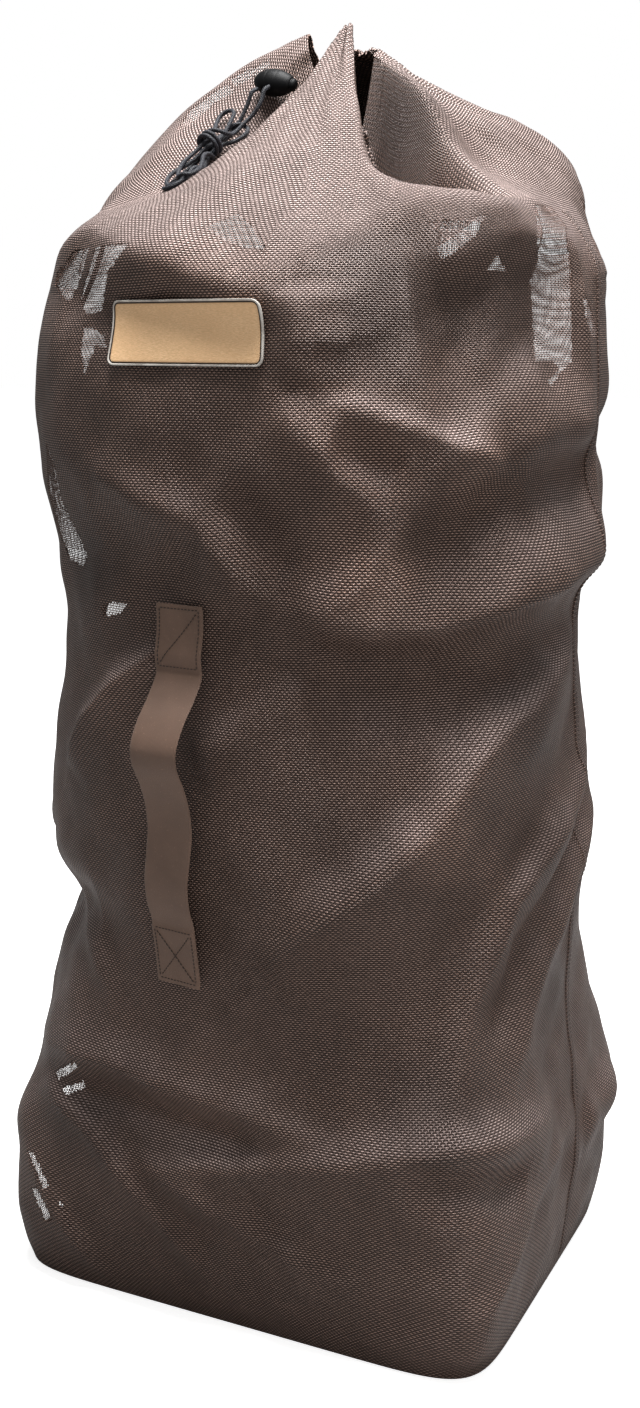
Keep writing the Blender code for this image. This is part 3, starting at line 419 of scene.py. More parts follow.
def cloth_normals(angles, ups):
    along = smooth_cloth(angles + 0.25, ups) - smooth_cloth(angles - 0.25, ups)
    above = smooth_cloth(angles, np.minimum(ups + 0.002, CROWN_UP[-1]))
    return unit(np.cross(along, above - smooth_cloth(angles, np.maximum(ups - 0.002, 0))))


def fold_rise(fold, angles, ups):
    """How far one fold lifts the cloth at each angle and distance up."""
    rise, above, below, roundness, *line = fold
    scale = math.radians(CHART_RADIUS)
    line = np.array(line, float) / (1, 1000) * (scale, 1.0)
    middle = line[:, 0].mean()
    whole = 360 * scale
    across = middle + (scale * angles - middle + whole / 2) % whole - whole / 2
    rightwards = 1 if line[-1, 0] >= line[0, 0] else -1
    steps = np.diff(line, axis=0)
    lengths = np.hypot(steps[:, 0], steps[:, 1])
    starts = np.concatenate([[0], np.cumsum(lengths)])
    nearest = np.full(across.shape, np.inf)
    along = np.zeros(across.shape)
    for corner, step, length, start in zip(line, steps, lengths, starts):
        share = np.clip(((across - corner[0]) * step[0] + (ups - corner[1]) * step[1]) / length**2, 0, 1)
        off_x = across - corner[0] - share * step[0]
        off_y = ups - corner[1] - share * step[1]
        upper = (step[0] * off_y - step[1] * off_x) * rightwards > 0
        distance = np.hypot(off_x, off_y) / np.where(upper, above / 1000, below / 1000)
        along = np.where(distance < nearest, (start + share * length) / starts[-1], along)
        nearest = np.minimum(nearest, distance)
    fade = 1 - 0.8 * (2 * along - 1) ** 4
    return rise / 1000 * fade * np.exp(-nearest**roundness)


def bag_cloth(angles, ups):
    """The outer face of the bag with its folds: axes up, angle, x y z."""
    grid_angles, grid_ups = np.meshgrid(angles, ups)
    rise = sum(fold_rise(fold, grid_angles, grid_ups) for fold in FOLDS.values())
    near_base = np.clip(grid_ups / FOLD_FREE, 0, 1)
    rise = rise * near_base**2 * (3 - 2 * near_base)
    return smooth_cloth(angles, ups) + cloth_normals(angles, ups) * rise[..., None]


def column_angles(columns):
    """Angles from the left side seam once round the bag, closer together at the gathered front."""
    even = np.linspace(0, 360, columns * 8 + 1)
    warped = even - COLUMN_CROWDING * np.sin(np.radians(even - CROWDED_ANGLE))
    share = (np.interp(GORES[0][0] + 360, warped, even) - 360) / 360
    turn = 360 * (share + np.arange(columns + 1) / columns)
    return turn - COLUMN_CROWDING * np.sin(np.radians(turn - CROWDED_ANGLE))


def crumple(angles, ups):
    """The cloth's small unevenness: soft ripples all over and pleats drawn in at the mouth."""
    grid_angles, grid_ups = np.meshgrid(angles, ups)
    draw = np.random.default_rng(RIPPLE_SEED)
    turn = np.radians(grid_angles)
    rise = np.zeros(turn.shape)
    for size in np.repeat(RIPPLE_SIZES, RIPPLES_EACH):
        lean = draw.uniform(-1.2, 1.2)
        shift = draw.uniform(0, 2 * math.pi)
        waves = max(1, round(2 * math.pi * CHART_RADIUS * math.cos(lean) / size))
        bend = 0.9 * np.sin(3 * turn + 9 * grid_ups + shift)
        rise += size * RIPPLE_SHARE * np.sin(waves * turn + 2 * math.pi * math.sin(lean) * grid_ups / size
                                             + bend + shift)
    patches = 0.5 + 0.5 * np.sin(2 * turn + 11 * grid_ups) * np.sin(3 * turn - 7 * grid_ups + 1)
    rise *= ramp(grid_ups, 0, 0.06) * (0.35 + 0.65 * patches)
    sway = 0.9 * np.sin(3 * turn) + 0.5 * np.sin(7 * turn + 1)
    pleat = np.cos(PLEATS * turn + sway + 3 * grid_ups)
    return rise + PLEAT_RISE * pleat * ramp(grid_ups, PLEATS_FROM, CROWN_UP[-1])


def grid_normals(points):
    """Outward unit normals of a grid whose last column repeats its first."""
    wide = np.concatenate([points[:, -2:-1], points, points[:, 1:2]], axis=1)
    return unit(np.cross(wide[:, 2:] - wide[:, :-2], np.gradient(points, axis=0)))


class Cloth:
    """The bag's outer face as a fine grid: axes row, column. The last column repeats the first."""

    def __init__(self):
        self.angles = column_angles(COLUMNS)
        self.ups = np.concatenate([np.linspace(0, HEM_FROM, BODY_ROWS, endpoint=False),
                                   np.linspace(HEM_FROM, CROWN_UP[-1], HEM_ROWS)])
        self.rows = len(self.ups)
        smooth = bag_cloth(self.angles, self.ups)
        self.points = smooth + grid_normals(smooth) * crumple(self.angles, self.ups)[..., None]
        self.normals = grid_normals(self.points)
        steps = np.linalg.norm(np.diff(self.points, axis=1), axis=2)
        arc = np.pad(np.cumsum(steps, axis=1), ((0, 0), (1, 0)))
        level = int(np.searchsorted(self.ups, GORES_FROM))
        arc[:level] = arc[level]
        self.arc = arc / YARN_PITCH
        firsts, middles = np.array(GORES, float).T
        at_middle = np.stack([np.interp(middles, self.angles, ring) for ring in self.arc])
        self.shift = at_middle[level] - at_middle
        centres = (self.angles[:-1] + self.angles[1:]) / 2
        self.gore = np.searchsorted(firsts, centres, side="right") - 1
        self.tree = BVHTree.FromPolygons(self.points.reshape(-1, 3).tolist(), grid_faces(self.rows, COLUMNS + 1))

    def counts_of(self, gore):
        """The first and last grid column of a gore, and the warp yarn counts over its grid."""
        own = np.flatnonzero(self.gore == gore)
        first, last = own[0], own[-1] + 1
        return first, last, self.arc[:, first:last + 1] + self.shift[:, gore, None]

    def from_yarns(self, gore, across, ups, outside=None):
        """Grid rows and columns, with fractions, of the crossings of yarn counts: axes up, across.

        A crossing past the gore's edge gets the edge's column, or what outside says.
        """
        first, last, levels = self.counts_of(gore)
        rows = np.interp(np.asarray(ups) * YARN_PITCH, self.ups, np.arange(self.rows))
        below = np.minimum(rows.astype(int), self.rows - 2)
        share = (rows - below)[:, None]
        levels = levels[below] * (1 - share) + levels[below + 1] * share
        columns = np.arange(first, last + 1)
        found = np.stack([np.interp(across, level, columns, outside, outside) for level in levels])
        return np.broadcast_to(rows[:, None], found.shape), found

    def between(self, values, rows, columns):
        """The grid's values at rows and columns with fractions."""
        below = np.clip(rows.astype(int), 0, self.rows - 2)
        left = np.clip(columns.astype(int), 0, COLUMNS - 1)
        up = (rows - below)[..., None]
        over = (columns - left)[..., None]
        low = values[below, left] * (1 - over) + values[below, left + 1] * over
        high = values[below + 1, left] * (1 - over) + values[below + 1, left + 1] * over
        return low * (1 - up) + high * up

    def surface(self, rows, columns):
        """Points and outward ways at rows and columns with fractions."""
        return self.between(self.points, rows, columns), self.between(self.normals, rows, columns)

    def spot(self, angle, up):
        """The point and unit outward way at an angle and a distance up the cloth."""
        first = self.angles[0]
        column = np.interp((angle - first) % 360 + first, self.angles, np.arange(COLUMNS + 1))
        row = np.interp(up, self.ups, np.arange(self.rows))
        point, way = self.surface(np.array(row), np.array(column))
        return point, unit(way)

    def lift(self, place, outward, reach=0.12):
        """Outward distance from a place to the cloth."""
        hit = self.tree.ray_cast(Vector(place) + Vector(outward) * reach, -Vector(outward), 2 * reach)
        return None if hit[0] is None else reach - hit[3]

    def highest(self, place, outward, side, along, half_side, half_along):
        """The highest cloth over a small rectangle around a place."""
        lifts = [self.lift(place + side * (half_side * i) + along * (half_along * j), outward)
                 for i in np.linspace(-1, 1, 9) for j in np.linspace(-1, 1, 3)]
        return max(found for found in lifts if found is not None)


def grid_faces(rows, columns, closes=False):
    """Faces between the points of a grid, row by row."""
    here = np.arange(columns if closes else columns - 1)[None]
    start = np.arange(rows - 1)[:, None] * columns
    after = (here + 1) % columns
    faces = np.stack([start + here, start + after, start + columns + after, start + columns + here], -1)
    return faces.reshape(-1, 4).tolist()


class Wall:
    """Faces of a thin wall between two grids, with blocks of cells left out and every edge closed.

    The outer grid has rows by columns cells, and the inner one has a point for every step of them.
    """

    def __init__(self, keep, step, closes):
        self.keep = keep
        self.step = step
        self.closes = closes                        # the columns close on themselves
        self.blocks_up, self.blocks_round = keep.shape
        self.columns = self.blocks_round * step + (not closes)
        self.inner_columns = self.blocks_round + (not closes)
        self.inner_start = (self.blocks_up * step + 1) * self.columns

    def outer(self, row, column):
        return row * self.columns + column % self.columns

    def inner(self, row, column):
        return self.inner_start + row * self.inner_columns + column % self.inner_columns

    def kept(self, row, column):
        if self.closes:
            column %= self.blocks_round
        return 0 <= row < self.blocks_up and 0 <= column < self.blocks_round and self.keep[row, column]

    def faces(self):
        """Each face's corners, and the block column that it belongs to."""
        row, column = np.nonzero(np.repeat(np.repeat(self.keep, self.step, axis=0), self.step, axis=1))
        faces = np.stack([self.outer(row, column), self.outer(row, column + 1),
                          self.outer(row + 1, column + 1), self.outer(row + 1, column)], -1).tolist()
        owners = (column // self.step).tolist()
        row, column = np.nonzero(self.keep)
        faces += np.stack([self.inner(row, column), self.inner(row + 1, column),
                           self.inner(row + 1, column + 1), self.inner(row, column + 1)], -1).tolist()
        owners += column.tolist()
        steps = range(self.step + 1)
        for up, over in zip(row.tolist(), column.tolist()):
            low, left = up * self.step, over * self.step
            high, right = low + self.step, left + self.step
            # each side's neighbour, the outer points along it and the inner points back
            for beside, rim, back in (
                    ((up, over + 1), [(high - i, right) for i in steps], ((up, over + 1), (up + 1, over + 1))),
                    ((up, over - 1), [(low + i, left) for i in steps], ((up + 1, over), (up, over))),
                    ((up - 1, over), [(low, right - i) for i in steps], ((up, over), (up, over + 1))),
                    ((up + 1, over), [(high, left + i) for i in steps], ((up + 1, over + 1), (up + 1, over)))):
                if not self.kept(*beside):
                    faces.append([self.outer(*spot) for spot in rim] + [self.inner(*spot) for spot in back])
                    owners.append(over)
        return faces, owners


def camera_place():
    turn = math.radians(CAMERA_AZIMUTH)
    return math.sin(turn) * CAMERA_DISTANCE, -math.cos(turn) * CAMERA_DISTANCE, CAMERA_HEIGHT


def photo_place(points):
    """Where the camera sees points, in the photograph's pixels: axes ..., x y."""
    turn = math.radians(CAMERA_AZIMUTH)
    dip = math.radians(CAMERA_DIP)
    right = np.array([math.cos(turn), math.sin(turn), 0])
    ahead = np.array([-math.sin(turn) * math.cos(dip), math.cos(turn) * math.cos(dip), -math.sin(dip)])
    away = points - np.array(camera_place())
    depth = away @ ahead
    over = FOCAL_PIXELS * (away @ right) / depth
    under = -FOCAL_PIXELS * (away @ np.cross(right, ahead)) / depth
    return np.stack([PHOTO_MIDDLE[0] + over, PHOTO_MIDDLE[1] + under], -1)


def inside(places, outline):
    """Which places lie inside a closed outline."""
    x, y = places[..., 0], places[..., 1]
    within = np.zeros(x.shape, bool)
    for (x0, y0), (x1, y1) in zip(outline, outline[1:] + outline[:1]):
        spans = (y0 > y) != (y1 > y)
        within ^= spans & (x < x0 + (x1 - x0) * (y - y0) / (y1 - y0 if y1 != y0 else 1))
    return within


def open_cells(cloth):
    """For each gore, its first cell across, the cells that are open and where each lies on the grid."""
    draw = np.random.default_rng(WINDOW_SEED)
    cells_up = int(CROWN_UP[-1] / YARN_PITCH) - 1
    found = []
    for gore in range(len(GORES)):
        first, _, levels = cloth.counts_of(gore)
        start = int(levels.min())
        count = int(levels.max()) - start + 1
        rows, columns = cloth.from_yarns(gore, start + 0.5 + np.arange(count), 0.5 + np.arange(cells_up), np.nan)
        real = np.isfinite(columns)
        places = photo_place(cloth.between(cloth.points, rows, np.where(real, columns, first)))
        places = places + draw.uniform(-WINDOW_FRAY, WINDOW_FRAY, places.shape)
        is_open = np.any([inside(places, outline) for outline in WINDOWS], axis=0)
        found.append((start, is_open & real, real, rows, columns))
    return found


def grown(mask, closes=False):
    """The mask and the cells around it."""
    wide = np.pad(mask, 1)
    if closes:
        wide[1:-1, 0] = mask[:, -1]
        wide[1:-1, -1] = mask[:, 0]
    rows, columns = mask.shape
    return np.any([wide[i:i + rows, j:j + columns] for i in range(3) for j in range(3)], axis=0)


class Build:
    """Collects the points, faces and uv corners of one piece, and shows it."""

    def __init__(self):
        self.points = []
        self.faces = []
        self.corners = []
        self.count = 0

    def add(self, points, faces, corners):
        """Faces are lists of indices into points; corners give a uv pair for each face's corner."""
        used, renumbered = np.unique(np.concatenate(faces), return_inverse=True)
        ends = np.cumsum([len(face) for face in faces])
        self.points.append(points[used])
        self.faces += [part.tolist() for part in np.split(renumbered + self.count, ends[:-1])]
        self.corners.append(corners)
        self.count += len(used)

    def show(self, name, look, slot, layer="yarns", replaces=()):
        mesh = bpy.data.meshes.new(name)
        mesh.from_pydata(np.concatenate(self.points).tolist(), [], self.faces)
        uv = mesh.uv_layers.new(name=layer)
        uv.data.foreach_set("uv", np.concatenate(self.corners).astype(np.float32).ravel())
        mesh.shade_smooth()
        mesh.set_sharp_from_angle(angle=math.radians(SHARP_ANGLE))
        mesh.materials.append(look)
        made = bpy.data.objects.new(name, mesh)
        bpy.context.scene.collection.objects.link(made)
        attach(made, "root")
        if replaces:
            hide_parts(*replaces)
        return made


def circle(count):
    """Ring of a round bar whose side, up and way are a right-handed set."""
    angles = 2 * math.pi * np.arange(count) / count
    return np.stack([np.cos(angles), np.sin(angles)], -1)


def flat_ring(count, squareness):
    """Ring of a flat band with rounded edges: (across, height), each from -1 to 1."""
    across = np.cos(np.linspace(0, math.pi, count))
    high = (1 - np.abs(across) ** squareness) ** (1 / squareness)
    return np.concatenate([np.stack([across, high], -1), np.stack([-across[1:-1], -high[1:-1]], -1)])


def bar(points, sides, ups, half_wide, half_high, ring):
    """A closed bar along points: its rings' points and its faces, which face outwards."""
    wide = np.broadcast_to(np.asarray(half_wide, float), len(points))[:, None, None]
    high = np.broadcast_to(np.asarray(half_high, float), len(points))[:, None, None]
    places = points[:, None] + sides[:, None] * wide * ring[None, :, :1] + ups[:, None] * high * ring[None, :, 1:]
    rows, count = len(points), len(ring)
    faces = grid_faces(rows, count, closes=True)
    faces.append(list(range(count - 1, -1, -1)))
    faces.append(list(range((rows - 1) * count, rows * count)))
    return places.reshape(-1, 3), faces


def add_bar(build, points, sides, ups, half_wide, half_high, ring, across, along):
    """Adds a bar whose uv map is across, for each point of the ring, and along, for each point of the line."""
    places, faces = bar(points, sides, ups, half_wide, half_high, ring)
    across, along = np.broadcast_arrays(np.asarray(across)[None], np.asarray(along)[:, None])
    build.add(places, faces, np.stack([across.ravel(), along.ravel()], -1)[np.concatenate(faces)])


def weave_net(cloth, gore, start, is_open, build):
    """Warp and weft yarns over the open cells of one gore, woven over and under each other."""
    crossings = np.zeros((is_open.shape[0] + 1, is_open.shape[1] + 1), bool)
    openness = np.zeros(crossings.shape)
    for i in (0, 1):
        for j in (0, 1):
            shape = (slice(i, i + is_open.shape[0]), slice(j, j + is_open.shape[1]))
            crossings[shape] |= is_open
            openness[shape] += is_open / 4
    width = YARN_WIDTH + (NET_WIDTH - YARN_WIDTH) * openness
    ring = circle(4)
    for live, wide, sign in ((crossings.T, width.T, 1), (crossings, width, -1)):        # warp, then weft
        for line, (marks, widths) in enumerate(zip(live, wide)):
            edges = np.diff(np.concatenate([[0], marks.astype(int), [0]]))
            for first, last in zip(np.flatnonzero(edges == 1), np.flatnonzero(edges == -1) - 1):
                along = np.concatenate([[first - NET_OVERLAP], np.arange(first, last + 1), [last + NET_OVERLAP]])
                across, up = (np.array([line + start]), along) if sign > 0 else (along + start, np.array([line]))
                points, ways = cloth.surface(*(part.ravel() for part in cloth.from_yarns(gore, across, up)))
                if np.linalg.norm(np.diff(points, axis=0), axis=1).min() < 1e-5:
                    continue                        # it leaves its gore
                ways = unit(ways)
                turn = np.cos(math.pi * across) * np.cos(math.pi * up)
                points = points + ways * (NET_SWING * sign * turn - NET_DEPTH)[:, None]
                sides = square_to(np.gradient(points, axis=0), ways)
                half = np.interp(along, np.arange(len(widths)), widths) * YARN_PITCH / 2
                places, faces = bar(points, sides, ways, half, NET_THICKNESS / 2, ring)
                counts = np.repeat(np.stack(np.broadcast_arrays(across, up), -1), len(ring), axis=0)
                build.add(places, faces, counts[np.concatenate(faces)])


def make_cloth(cloth, look):
    """The bag's hollow wall, cut out in blocks around the windows, and the net that fills those."""
    keep = np.ones(((cloth.rows - 1) // INNER_STEP, COLUMNS // INNER_STEP), bool)

    def blocks(rows, columns):
        return (np.clip(rows // INNER_STEP, 0, keep.shape[0] - 1).astype(int),
                np.clip(columns // INNER_STEP, 0, keep.shape[1] - 1).astype(int))

    cells = open_cells(cloth)
    for _, is_open, _, rows, columns in cells:
        keep[blocks(rows[is_open], columns[is_open])] = False
    keep = ~grown(~keep, closes=True)
    keep[:1] = True
    keep[-((HEM_ROWS + 1) // INNER_STEP):] = True

    hem = ramp(cloth.ups, HEM_FROM - 0.0012, HEM_FROM + 0.0006)
    hem *= 1 - ramp(cloth.ups, CROWN_UP[-1] - 0.0012, CROWN_UP[-1] + 0.0004)
    outer = (cloth.points + cloth.normals * (HEM_OUT * hem)[:, None, None])[:, :-1]
    inner = (cloth.points - cloth.normals * (WALL + HEM_IN * hem)[:, None, None])[::INNER_STEP, :-1:INNER_STEP]
    wall = Wall(keep, INNER_STEP, closes=True)
    faces, owners = wall.faces()
    corner = np.concatenate(faces)
    owner = np.repeat(owners, [len(face) for face in faces])
    is_inner = corner >= wall.inner_start
    place = np.where(is_inner, corner - wall.inner_start, corner)
    per_row = np.where(is_inner, wall.inner_columns, wall.columns)
    scale = np.where(is_inner, INNER_STEP, 1)
    row = place // per_row * scale
    column = place % per_row * scale
    column = np.where((column == 0) & (owner == keep.shape[1] - 1), COLUMNS, column)
    gore = cloth.gore[np.minimum(owner * INNER_STEP, COLUMNS - 1)]
    build = Build()
    build.add(np.concatenate([outer.reshape(-1, 3), inner.reshape(-1, 3)]), faces,
              np.stack([cloth.arc[row, column] + cloth.shift[row, gore], cloth.ups[row] / YARN_PITCH], -1))
    build.show("mesh_cloth", look, "mesh_cloth", replaces=["mesh_body"])

    # the close cloth between the wall's cut blocks and the open cells
    border = Build()
    nets = Build(), Build()
    for gore, (start, is_open, real, rows, columns) in enumerate(cells):
        if not is_open.any():
            continue
        cut = ~keep[blocks(rows, np.where(real, columns, 0))] & real
        lines = start + np.arange(is_open.shape[1] + 1)
        ups = np.arange(is_open.shape[0] + 1)
        surface, ways = cloth.surface(*cloth.from_yarns(gore, lines, ups))
        wide = np.linalg.norm(np.diff(surface[:-1], axis=1), axis=2) > YARN_PITCH * NARROWEST_CELL
        patch = Wall(grown(cut) & ~is_open & wide, 1, closes=False)
        faces, _ = patch.faces()
        place = np.concatenate(faces) % patch.inner_start
        counts = np.stack([lines[place % patch.columns], ups[place // patch.columns]], -1)
        border.add(np.concatenate([(surface - ways * depth).reshape(-1, 3) for depth in (FILL_RISE, FILL_DEPTH)]),
                   faces, counts)
        weave_net(cloth, gore, start, is_open, nets[gore > LAST_LEFT_GORE])
    border.show("mesh_cloth_border", look, "mesh_cloth")
    for name, net in zip(("mesh_cloth_net_left", "mesh_cloth_net_right"), nets):
        net.show(name, look, "mesh_cloth")


class Value:
    """A number over a surface. Its sums, differences and products make their own nodes."""

    def __init__(self, look, socket):
        self.look = look
        self.socket = socket

    def __add__(self, other):
        return self.look.math("ADD", self, other)

    def __sub__(self, other):
        return self.look.math("SUBTRACT", self, other)

    def __mul__(self, other):
        return self.look.math("MULTIPLY", self, other)


class Shading:
    """Makes a material's nodes in few words."""

    def __init__(self, name, color, roughness):
        self.material = bpy.data.materials.new(name)
        self.material.use_nodes = True
        self.material.diffuse_color = (*color, 1.0)
        self.nodes = self.material.node_tree.nodes
        self.shader = self.nodes["Principled BSDF"]
        self.set(Base_Color=color, Roughness=roughness)

    def put(self, socket, value):
        if isinstance(value, Value):
            value = value.socket
        if isinstance(value, bpy.types.NodeSocket):
            self.material.node_tree.links.new(value, socket)
        else:
            socket.default_value = (*value, 1.0) if socket.type == "RGBA" and len(value) == 3 else value

    def set(self, **values):
        """Puts values on the shader's sockets, whose names have _ for each space."""
        for name, value in values.items():
            self.put(self.shader.inputs[name.replace("_", " ")], value)

    def node(self, kind, *values, **settings):
        """A node with its settings and with values on its first sockets."""
        node = self.nodes.new("ShaderNode" + kind)
        for name, value in settings.items():
            setattr(node, name, value)
        for socket, value in zip(node.inputs, values):
            self.put(socket, value)
        return node

    def math(self, operation, *values):
        return Value(self, self.node("Math", *values, operation=operation).outputs[0])

    def ramp(self, value, low, high, start=0.0, end=1.0):
        """From start to end, smoothly, as the value goes from low to high."""
        node = self.node("MapRange", value, low, high, start, end, interpolation_type="SMOOTHSTEP")
        return Value(self, node.outputs[0])

    def mix(self, share, first, second, blend="MIX"):
        node = self.node("Mix", share, data_type="RGBA", blend_type=blend)
        self.put(node.inputs[6], first)
        self.put(node.inputs[7], second)
        return node.outputs[2]

    def gray(self, value):
        return self.node("CombineXYZ", value, value, value).outputs[0]

    def parts(self, vector):
        """A vector's x, y and z."""
        return [Value(self, socket) for socket in self.node("SeparateXYZ", vector).outputs]

    def uv(self, name):
        return self.parts(self.node("UVMap", uv_map=name).outputs[0])[:2]

    def noise(self, size, detail=2.0, stretch=(1, 1, 1)):
        """Soft noise whose patches are about size metres across."""
        scaled = self.node("Mapping", self.node("TexCoord").outputs["Object"])
        scaled.inputs["Scale"].default_value = [part / size for part in stretch]
        node = self.node("TexNoise", scaled.outputs[0])
        node.inputs["Scale"].default_value = 1.0
        node.inputs["Detail"].default_value = detail
        return Value(self, node.outputs["Fac"])

    def patches(self, size, low=0.3, high=0.7, start=0.0, end=1.0, detail=3.0):
        """Soft noise that goes from start to end."""
        return self.ramp(self.noise(size, detail), low, high, start, end)

    def painted_light_shade_cloud(self, place, size, tone, fray):
        """Painted shade where the tone is below 1 and painted light where it is above: the tone at a place,
        fading to 1 at about size metres from it, with a frayed edge.
        """
        away = self.node("VectorMath", self.node("TexCoord").outputs["Object"], place, operation="DISTANCE")
        away = self.math("MULTIPLY_ADD", fray, size * 0.9, away.outputs["Value"])
        return self.ramp(away, size * 0.1, size, tone, 1.0)

    def bump(self, height, distance, strength=1.0):
        node = self.node("Bump", strength, distance)
        self.put(node.inputs["Height"], height)
        return node.outputs[0]

    def wave(self, count, times=2.0):
        """cos of the yarn count, at 1 on each yarn's middle when times is 2."""
        return self.math("COSINE", count * (times * math.pi))

    def woven(self, across, up, edge, swing, power):
        """The height of the warp and of the weft of a plain weave on yarn counts."""
        turn = self.wave(across, 1.0) * self.wave(up, 1.0)
        return [self.math("POWER", self.ramp(self.wave(count), edge, 1.0), power) * (turn * sway + (1 - swing))
                for count, sway in ((across, swing), (up, -swing))]


def scaled(color, share):
    return tuple(min(1.0, part * share) for part in color)


def mesh_cloth_look():
    """Coated yarns with a soft sheen over holes painted near black as shade of the bag's inside: the weft painted
    paler than the warp as a highlight, the weave's low parts painted darker as shade, and all of it rubbed in
    patches, with clouds of painted shade and light, and painted paler as light from above where it faces up."""
    look = Shading("mesh_cloth_look", (0.10, 0.070, 0.060), 0.4)
    across, up = look.uv("yarns")
    across = (look.noise(0.02) - 0.5) * 0.04 + across
    edge = math.cos(math.pi * YARN_WIDTH)
    cover = look.ramp(look.math("MAXIMUM", look.wave(across), look.wave(up)), edge - 0.15, edge + 0.2)
    warp_height, weft_height = look.woven(across, up, edge, 0.36, 0.6)
    height = look.math("MAXIMUM", warp_height, weft_height)
    rubbed = look.patches(0.16, 0.32, 0.68)
    # the weft is painted far paler than the warp: a painted highlight of the light from above on the crosswise
    # yarns
    warp = look.mix(rubbed, (0.037, 0.020, 0.0135), (0.052, 0.028, 0.0195))
    weft_with_painted_highlight = look.mix(rubbed, (0.295, 0.185, 0.142), (0.38, 0.250, 0.200))
    # painted top light: the yarns are painted paler where the cloth faces up, as lit from above
    rising = look.parts(look.node("NewGeometry").outputs["Normal"])[2]
    painted_top_light = look.ramp(rising + look.noise(0.05, 3.0) * 0.24, *PAINTED_TOP_LIGHT_FROM_TO)
    warp = look.mix(painted_top_light * 0.75, warp, (0.17, 0.115, 0.098))
    weft_with_painted_highlight = look.mix(painted_top_light * 0.80, weft_with_painted_highlight, (0.66, 0.52, 0.49))
    fleck = look.patches(0.004, 0.30, 0.72, 0.86, 1.16, detail=2.0)
    # the weave's low parts are painted darker as shade; the flecks and patches are random tone
    tone = fleck * look.patches(0.03, start=0.92, end=1.08) * look.ramp(height, 0.35, 0.95, 0.16, 1.0)
    # clouds of painted shade and painted light, with frayed edges
    fray = look.noise(0.05, 3.0) - 0.5
    for painted_light_shade_cloud in PAINTED_LIGHT_SHADE_CLOUDS:
        tone = tone * look.painted_light_shade_cloud(*painted_light_shade_cloud, fray)
    yarn = look.mix(1.0, look.mix(look.ramp(weft_height - warp_height, -0.12, 0.12), warp, weft_with_painted_highlight),
                    look.gray(tone), "MULTIPLY")
    shine = look.patches(0.05, start=0.34, end=0.46, detail=2.0)
    # the holes between the yarns are painted near black: painted shade of the bag's dark inside seen through them
    look.set(Base_Color=look.mix(cover, (0.006, 0.004, 0.0035), yarn),
             Roughness=look.ramp(cover, 0.0, 1.0, 0.95, shine),
             Specular_IOR_Level=CLOTH_SPECULAR, Specular_Tint=CLOTH_SHINE, Normal=look.bump(height, 0.0008))
    return look.material


def webbing_look(name, color, dark):
    """Fine woven webbing: ribs along its length, rows of picks across them, and some lint."""
    look = Shading(name, color, 0.62)
    across, along = look.uv("threads")              # millimetres
    rib = look.math("SINE", across * (math.pi / WEBBING_RIB))
    pick = look.math("SINE", along * (math.pi / WEBBING_PICK) + look.math("SIGN", rib) * 0.8)
    height = look.math("POWER", look.math("ABSOLUTE", rib), 0.5) * (look.math("ABSOLUTE", pick) * 0.35 + 0.65)
    base = look.mix(look.ramp(height, 0.15, 0.9), scaled(dark, 0.5), look.mix(look.patches(0.035), dark, color))
    lint = look.patches(0.0018, 0.62, 0.80, detail=2.0) * 0.35
    look.set(Base_Color=look.mix(lint, base, scaled(color, 2.0)), Sheen_Weight=0.25, Sheen_Roughness=0.4,
             Sheen_Tint=(0.8, 0.7, 0.64), Normal=look.bump(height, 0.0003, 0.8))
    return look.material


def stitch_look(name, color):
    """Twisted sewing thread."""
    look = Shading(name, color, 0.55)
    across, along = look.uv("threads")              # turns and millimetres
    twist = look.math("SINE", along * 5.5 + across * (2 * math.pi))
    look.set(Base_Color=look.mix(look.ramp(twist, -0.6, 0.8), scaled(color, 0.45), color),
             Normal=look.bump(twist, 0.00012, 0.8))
    return look.material


def cord_look():
    """Braided elastic cord: crossed strands of a dark blue-grey yarn."""
    look = Shading("cord_look", (0.030, 0.032, 0.042), 0.5)
    around, along = look.uv("threads")              # turns and millimetres
    around, along = around * (12 * math.pi), along * 3.6
    weave = look.math("MAXIMUM", look.math("SINE", around + along), look.math("SINE", around - along))
    tone = look.ramp(weave, 0.1, 1.0)
    yarn = look.mix(look.patches(0.006, detail=2.0), (0.016, 0.017, 0.023), (0.030, 0.032, 0.042))
    look.set(Base_Color=look.mix(tone, (0.003, 0.003, 0.005), yarn), Roughness=look.ramp(tone, 0, 1, 0.75, 0.40),
             Specular_IOR_Level=0.35, Sheen_Weight=0.12, Sheen_Roughness=0.35, Sheen_Tint=(0.62, 0.66, 0.80),
             Normal=look.bump(weave, 0.00025, 0.8))
    return look.material


def toggle_look():
    """Moulded black plastic with a fine spark grain and rubbed high spots."""
    look = Shading("toggle_look", (0.004, 0.004, 0.005), 0.5)
    rubbed = look.patches(0.006, 0.52, 0.72)
    look.set(Base_Color=look.mix(rubbed, (0.002, 0.002, 0.0024), (0.006, 0.006, 0.007)),
             Roughness=look.ramp(rubbed, 0, 1, 0.50, 0.36), Specular_IOR_Level=0.12,
             Normal=look.bump(look.noise(0.0006), 0.00015, 0.5))
    return look.material


